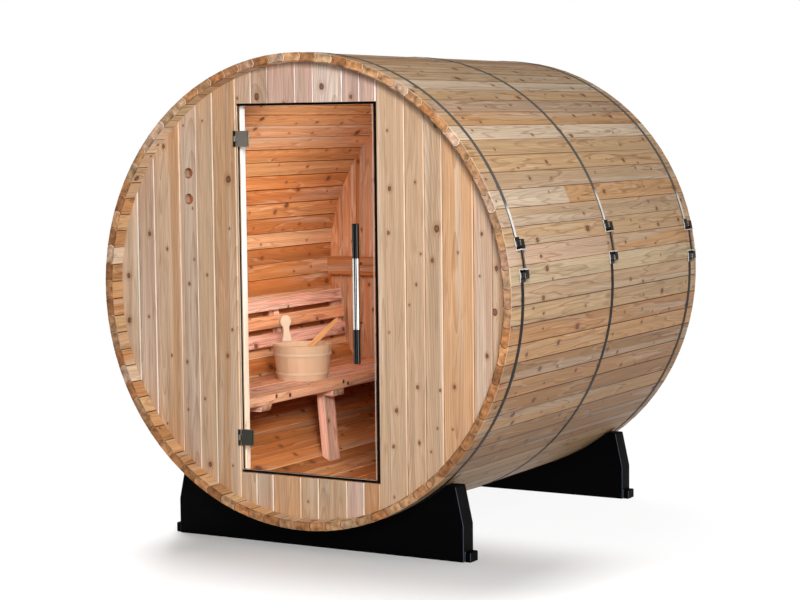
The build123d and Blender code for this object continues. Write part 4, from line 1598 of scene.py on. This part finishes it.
# ---------------- bucket and ladle
@dataclass
class Bucket:
    """The staved pine bucket with its tall grip stave and hoops, and the ladle."""

    centre: tuple[float, float] = (-0.524, -0.036)
    seat: float = 0.552
    height: float = 0.150
    top_radius: float = 0.1285
    base_radius: float = 0.108
    wall: float = 0.014
    floor: tuple[float, float] = (0.010, 0.024)
    count: int = 20
    ear_angle: float = 155.5
    gap: float = 0.0001
    stave_arris: float = 0.0004
    floor_arris: float = 0.001
    ear_arris: float = 0.0035
    hoop_arris: float = 0.0015
    ladle_arris: float = 0.0012
    ladle_along: tuple[float, float, float] = (0.480, 0.566, 0.670)
    ladle_up: tuple[float, float, float] = (0.568, -0.783, 0.254)

    def stave(self) -> Thing:
        """Makes one tapered stave at the bucket's +X side.

        Returns:
            The stave.
        """
        half = math.pi / self.count
        mean = self.top_radius * math.cos(half)
        reach = mean * math.tan(half) - self.gap
        stave = block((mean - self.wall, -reach, 0.0), (mean, reach, self.height))
        shrink = self.base_radius / self.top_radius
        inner = (mean - self.wall) / mean
        about = (mean, 0.0, 0.0)
        with Editing(stave) as edit:
            edit.narrow((1.0, inner, 1.0), about, lambda vert: vert.co.x < mean - self.wall / 2)
            taper = (self.base_radius - self.top_radius, 0.0, 0.0)
            edit.move(taper, lambda vert: vert.co.z < self.height / 2)
            edit.narrow((1.0, shrink, 1.0), about, lambda vert: vert.co.z < self.height / 2)
            for row in (-0.6, -0.2, 0.2, 0.6):
                edit.cut((0.0, row * reach, 0.0), (-row * (1 - shrink), 1.0, 0.0))
            for row in (0.2, 0.6):
                bulge = mean * (math.cos(half * row) / math.cos(half) - 1)
                near, far = (row - 0.2) * reach, (row + 0.2) * reach
                edit.move((bulge, 0.0, 0.0), lambda vert: near < abs(vert.co.y) + HAIR < far)
        eased(stave, self.stave_arris, 1)
        return stave

    def body(self) -> None:
        """Makes the staves, the floor and the grip stave."""
        dice = random.Random(55)
        master = self.stave()
        parts = []
        place = Matrix.Translation((*self.centre, self.seat))
        start = math.radians(self.ear_angle)
        for number in range(self.count):
            stave = copied(master)
            tint = toned(Tint.STRAW, dice, 0.005)
            parts.append(Board(UP, BACK, tint, 460.0 + number).mark(stave, by_end))
            turn = Matrix.Rotation(start + number * math.tau / self.count, 4, "Z")
            stave.data.transform(place @ turn)
        bpy.data.objects.remove(master)
        flare = (self.top_radius - self.base_radius) / self.height
        inner = self.base_radius + flare * self.floor[0] - self.wall * 1.02
        floor = rod(*((*self.centre, self.seat + level) for level in self.floor), inner, 64)
        eased(floor, self.floor_arris)
        parts.append(Board(RIGHT, BACK, toned(Tint.STRAW, dice), 482.0).mark(floor, by_end))
        piece = Piece("bucket_staves", "water_bucket", "pine")
        ear = piece.traced()
        with Editing(ear) as edit:
            edit.cut((0.0, 0.0, self.seat + self.height + 0.0002), UP, Keep.FAR)
        eased(ear, self.ear_arris, 3, SHARP)
        across = Vector((-math.sin(start), math.cos(start), 0.0))
        parts.append(Board(UP, across, toned(Tint.PALE, dice), 483.0).mark(ear))
        piece.finish(parts, Finishes.pine, Finishes.pine)

    def build(self) -> None:
        """Makes the bucket, its hoops and the ladle."""
        self.body()
        hoops = Piece("bucket_hoop_rings", "bucket_hoops", "pine")
        grain = Board(RIGHT, BACK, Tint.PALE.value, 486.0)
        hoops.plain(Finishes.pine, self.hoop_arris, grain=grain)
        along, up = (Vector(way).normalized() for way in (self.ladle_along, self.ladle_up))
        grain = Board(along, up.cross(along), Tint.HONEY.value, 487.0)
        ladle = Piece("bucket_ladle_wood", "bucket_ladle", "ladle_wood")
        ladle.plain(Finishes.ladle_wood, self.ladle_arris, 2, SHARP, grain)


# ---------------- studio
@dataclass(frozen=True)
class Glow(Finish):
    """A card that shines, or a black one."""

    strength: float

    def paint(self, graph: Graph) -> None:
        """Makes the card's glow."""
        graph.surface(graph.wire("Emission", {"Strength": self.strength}))


@dataclass(frozen=True)
class PaleFloor(Finish):
    """A floor that shows white but for the object's shadow, and reflects less than it shows."""

    bounce: float = 0.22
    shadow: tuple[float, float] = (1.7, 3.2)
    rear: tuple[float, float] = (-0.80, -0.20)
    rear_fade: float = 0.92

    def paint(self, graph: Graph) -> None:
        """Fades the shadow out away from the object, and shows other rays a dull floor.

        Args:
            graph: the material's graph.
        """
        matt, dull = (
            graph.wire("BsdfDiffuse", {"Color": (level, level, level, 1.0)})
            for level in (0.9, self.bounce)
        )
        x, y, _ = graph.parts(graph.place())
        reach = (x**2.0 + y**2.0).of("SQRT").ease(*self.shadow)
        reach = reach.greater(y.ease(*self.rear) * self.rear_fade)
        white = graph.wire("Emission", {"Strength": 1.0})
        shown = graph.wire("MixShader", {0: reach, 1: matt, 2: white})
        seen = graph.seen("Camera", "Glossy", "Transmission")
        graph.surface(graph.wire("MixShader", {0: seen, 1: dull, 2: shown}))


def stood(name: str, data: bpy.types.Light, place: Sequence[float], aim: Vector) -> Thing:
    """Stands a lamp in the scene.

    Args:
        name: its name.
        data: the lamp.
        place: where it stands.
        aim: the way that it points.

    Returns:
        The lamp's object.
    """
    made = bpy.data.objects.new(name, data)
    made.location = place
    made.rotation_euler = aim.to_track_quat("-Z", "Y").to_euler()
    bpy.context.scene.collection.objects.link(made)
    return made


@dataclass(frozen=True)
class Lamp:
    """One soft square lamp: its power is in watts and its spread in degrees."""

    name: str
    place: tuple[float, float, float]
    target: tuple[float, float, float]
    side: float
    power: float
    spread: float = 180.0

    def build(self) -> None:
        """Adds the lamp, which no mirror shows."""
        data = bpy.data.lights.new(self.name, "AREA")
        data.size = self.side
        data.energy = self.power
        data.spread = math.radians(self.spread)
        lamp = stood(self.name, data, self.place, Vector(self.target) - Vector(self.place))
        lamp.visible_camera = lamp.visible_glossy = False


@dataclass
class Studio:
    """The pale floor, the soft light and the camera."""

    ambient: float = 0.27
    floor_size: float = 60.0
    overhead: float = 2.7
    overhead_width: float = 32.0
    overhead_aim: tuple[float, float, float] = (0.30, -0.38, -1.0)
    eye: tuple[float, float, float] = (4.2449, -7.5046, 1.6415)
    yaw: float = 29.822
    pitch: float = 4.880
    roll: float = -0.629
    lens: float = 93.02
    sensor: float = 36.0
    far_end: float = 200.0
    card_reach: float = 6.0
    card_height: float = 6.0
    card_rise: float = 0.15
    cards: tuple[tuple[str, float, float, float], ...] = (
        ("white_card", 118.0, 2.2, 2.4),
        ("strip_card", 74.0, 3.0, 4.0),
        ("dark_card_right", 42.0, 3.2, 0.0),
        ("dark_card_left", -8.0, 4.0, 0.0),
    )
    lamps: tuple[Lamp, ...] = (
        Lamp("key", (3.65, -5.4, 2.9), (-0.1, -0.4, 1.0), 1.4, 345.0),
        Lamp("back_fill", (-3.6, 5.6, 2.6), (0.0, 0.4, 0.9), 2.0, 150.0),
        Lamp("cabin", (0.20, -0.30, 1.5), (-0.75, 0.20, 1.3), 0.4, 3.9, 100.0),
        Lamp("cabin_low", (0.15, -0.62, 0.8), (-0.55, 0.0, 0.25), 0.3, 0.35, 110.0),
    )

    def world(self) -> None:
        """Lights the object evenly, and shows white behind it."""
        world = bpy.data.worlds.new("studio")
        world.use_nodes = True
        bpy.context.scene.world = world
        graph = Graph(world.node_tree)
        strength = graph.seen("Camera", "Transmission") * (1.0 - self.ambient) + self.ambient
        inputs = {"Color": (1.0, 1.0, 1.0, 1.0), "Strength": strength}
        graph.node("OutputWorld", {"Surface": graph.wire("Background", inputs)})

    def floor(self) -> None:
        """Makes the floor, and the broad overhead light that reaches it alone."""
        floor = placed("plane", (0.0, 0.0, 0.0), size=self.floor_size)
        floor.name = "studio_floor"
        dressed(floor, PaleFloor("studio_floor"))
        sun = bpy.data.lights.new("overhead", "SUN")
        sun.energy = self.overhead
        sun.angle = math.radians(self.overhead_width)
        lamp = stood("overhead", sun, (0.0, 0.0, 0.0), Vector(self.overhead_aim))
        receivers = bpy.data.collections.new("floor_only")
        receivers.objects.link(floor)
        lamp.light_linking.receiver_collection = receivers

    def stand_cards(self) -> None:
        """Stands the white and the dark cards that only polished metal and gloss mirror."""
        for name, angle, width, strength in self.cards:
            around = math.radians(angle)
            place = Vector((math.sin(around), -math.cos(around), self.card_rise))
            turn = Euler((math.pi / 2, 0.0, around)).to_quaternion()
            scale = (width, self.card_height, 1.0)
            card = placed("plane", place * self.card_reach, scale, turn, size=1.0)
            card.name = f"studio_{name}"
            dressed(card, Glow(card.name, strength))
            card.visible_camera = card.visible_diffuse = card.visible_shadow = False
            card.visible_transmission = False

    def camera(self) -> None:
        """Sets up the camera."""
        stand = Matrix.Translation(self.eye)
        for angle, axis in ((self.yaw, "Z"), (90.0 - self.pitch, "X"), (self.roll, "Z")):
            stand = stand @ Matrix.Rotation(math.radians(angle), 4, axis)
        data = bpy.data.cameras.new("camera")
        data.lens = self.lens
        data.sensor_width = self.sensor
        data.clip_end = self.far_end
        camera = bpy.data.objects.new("camera", data)
        camera.matrix_world = stand
        bpy.context.scene.collection.objects.link(camera)
        bpy.context.scene.camera = camera

    def build(self) -> None:
        """Makes the whole studio."""
        self.world()
        self.floor()
        self.stand_cards()
        self.camera()
        for lamp in self.lamps:
            lamp.build()


def main() -> None:
    """Builds every sub-assembly in order."""
    logging.basicConfig(level=logging.INFO, format="%(name)s: %(message)s")
    bpy.context.scene.view_settings.view_transform = "Standard"
    for kind in (Studio, Barrel, EndWalls, Doorway, Door, Hoops, Cradles, Bench, Bucket):
        kind().build()
        LOG.info("built %s", kind.__name__)


if __name__ == "__main__":
    main()
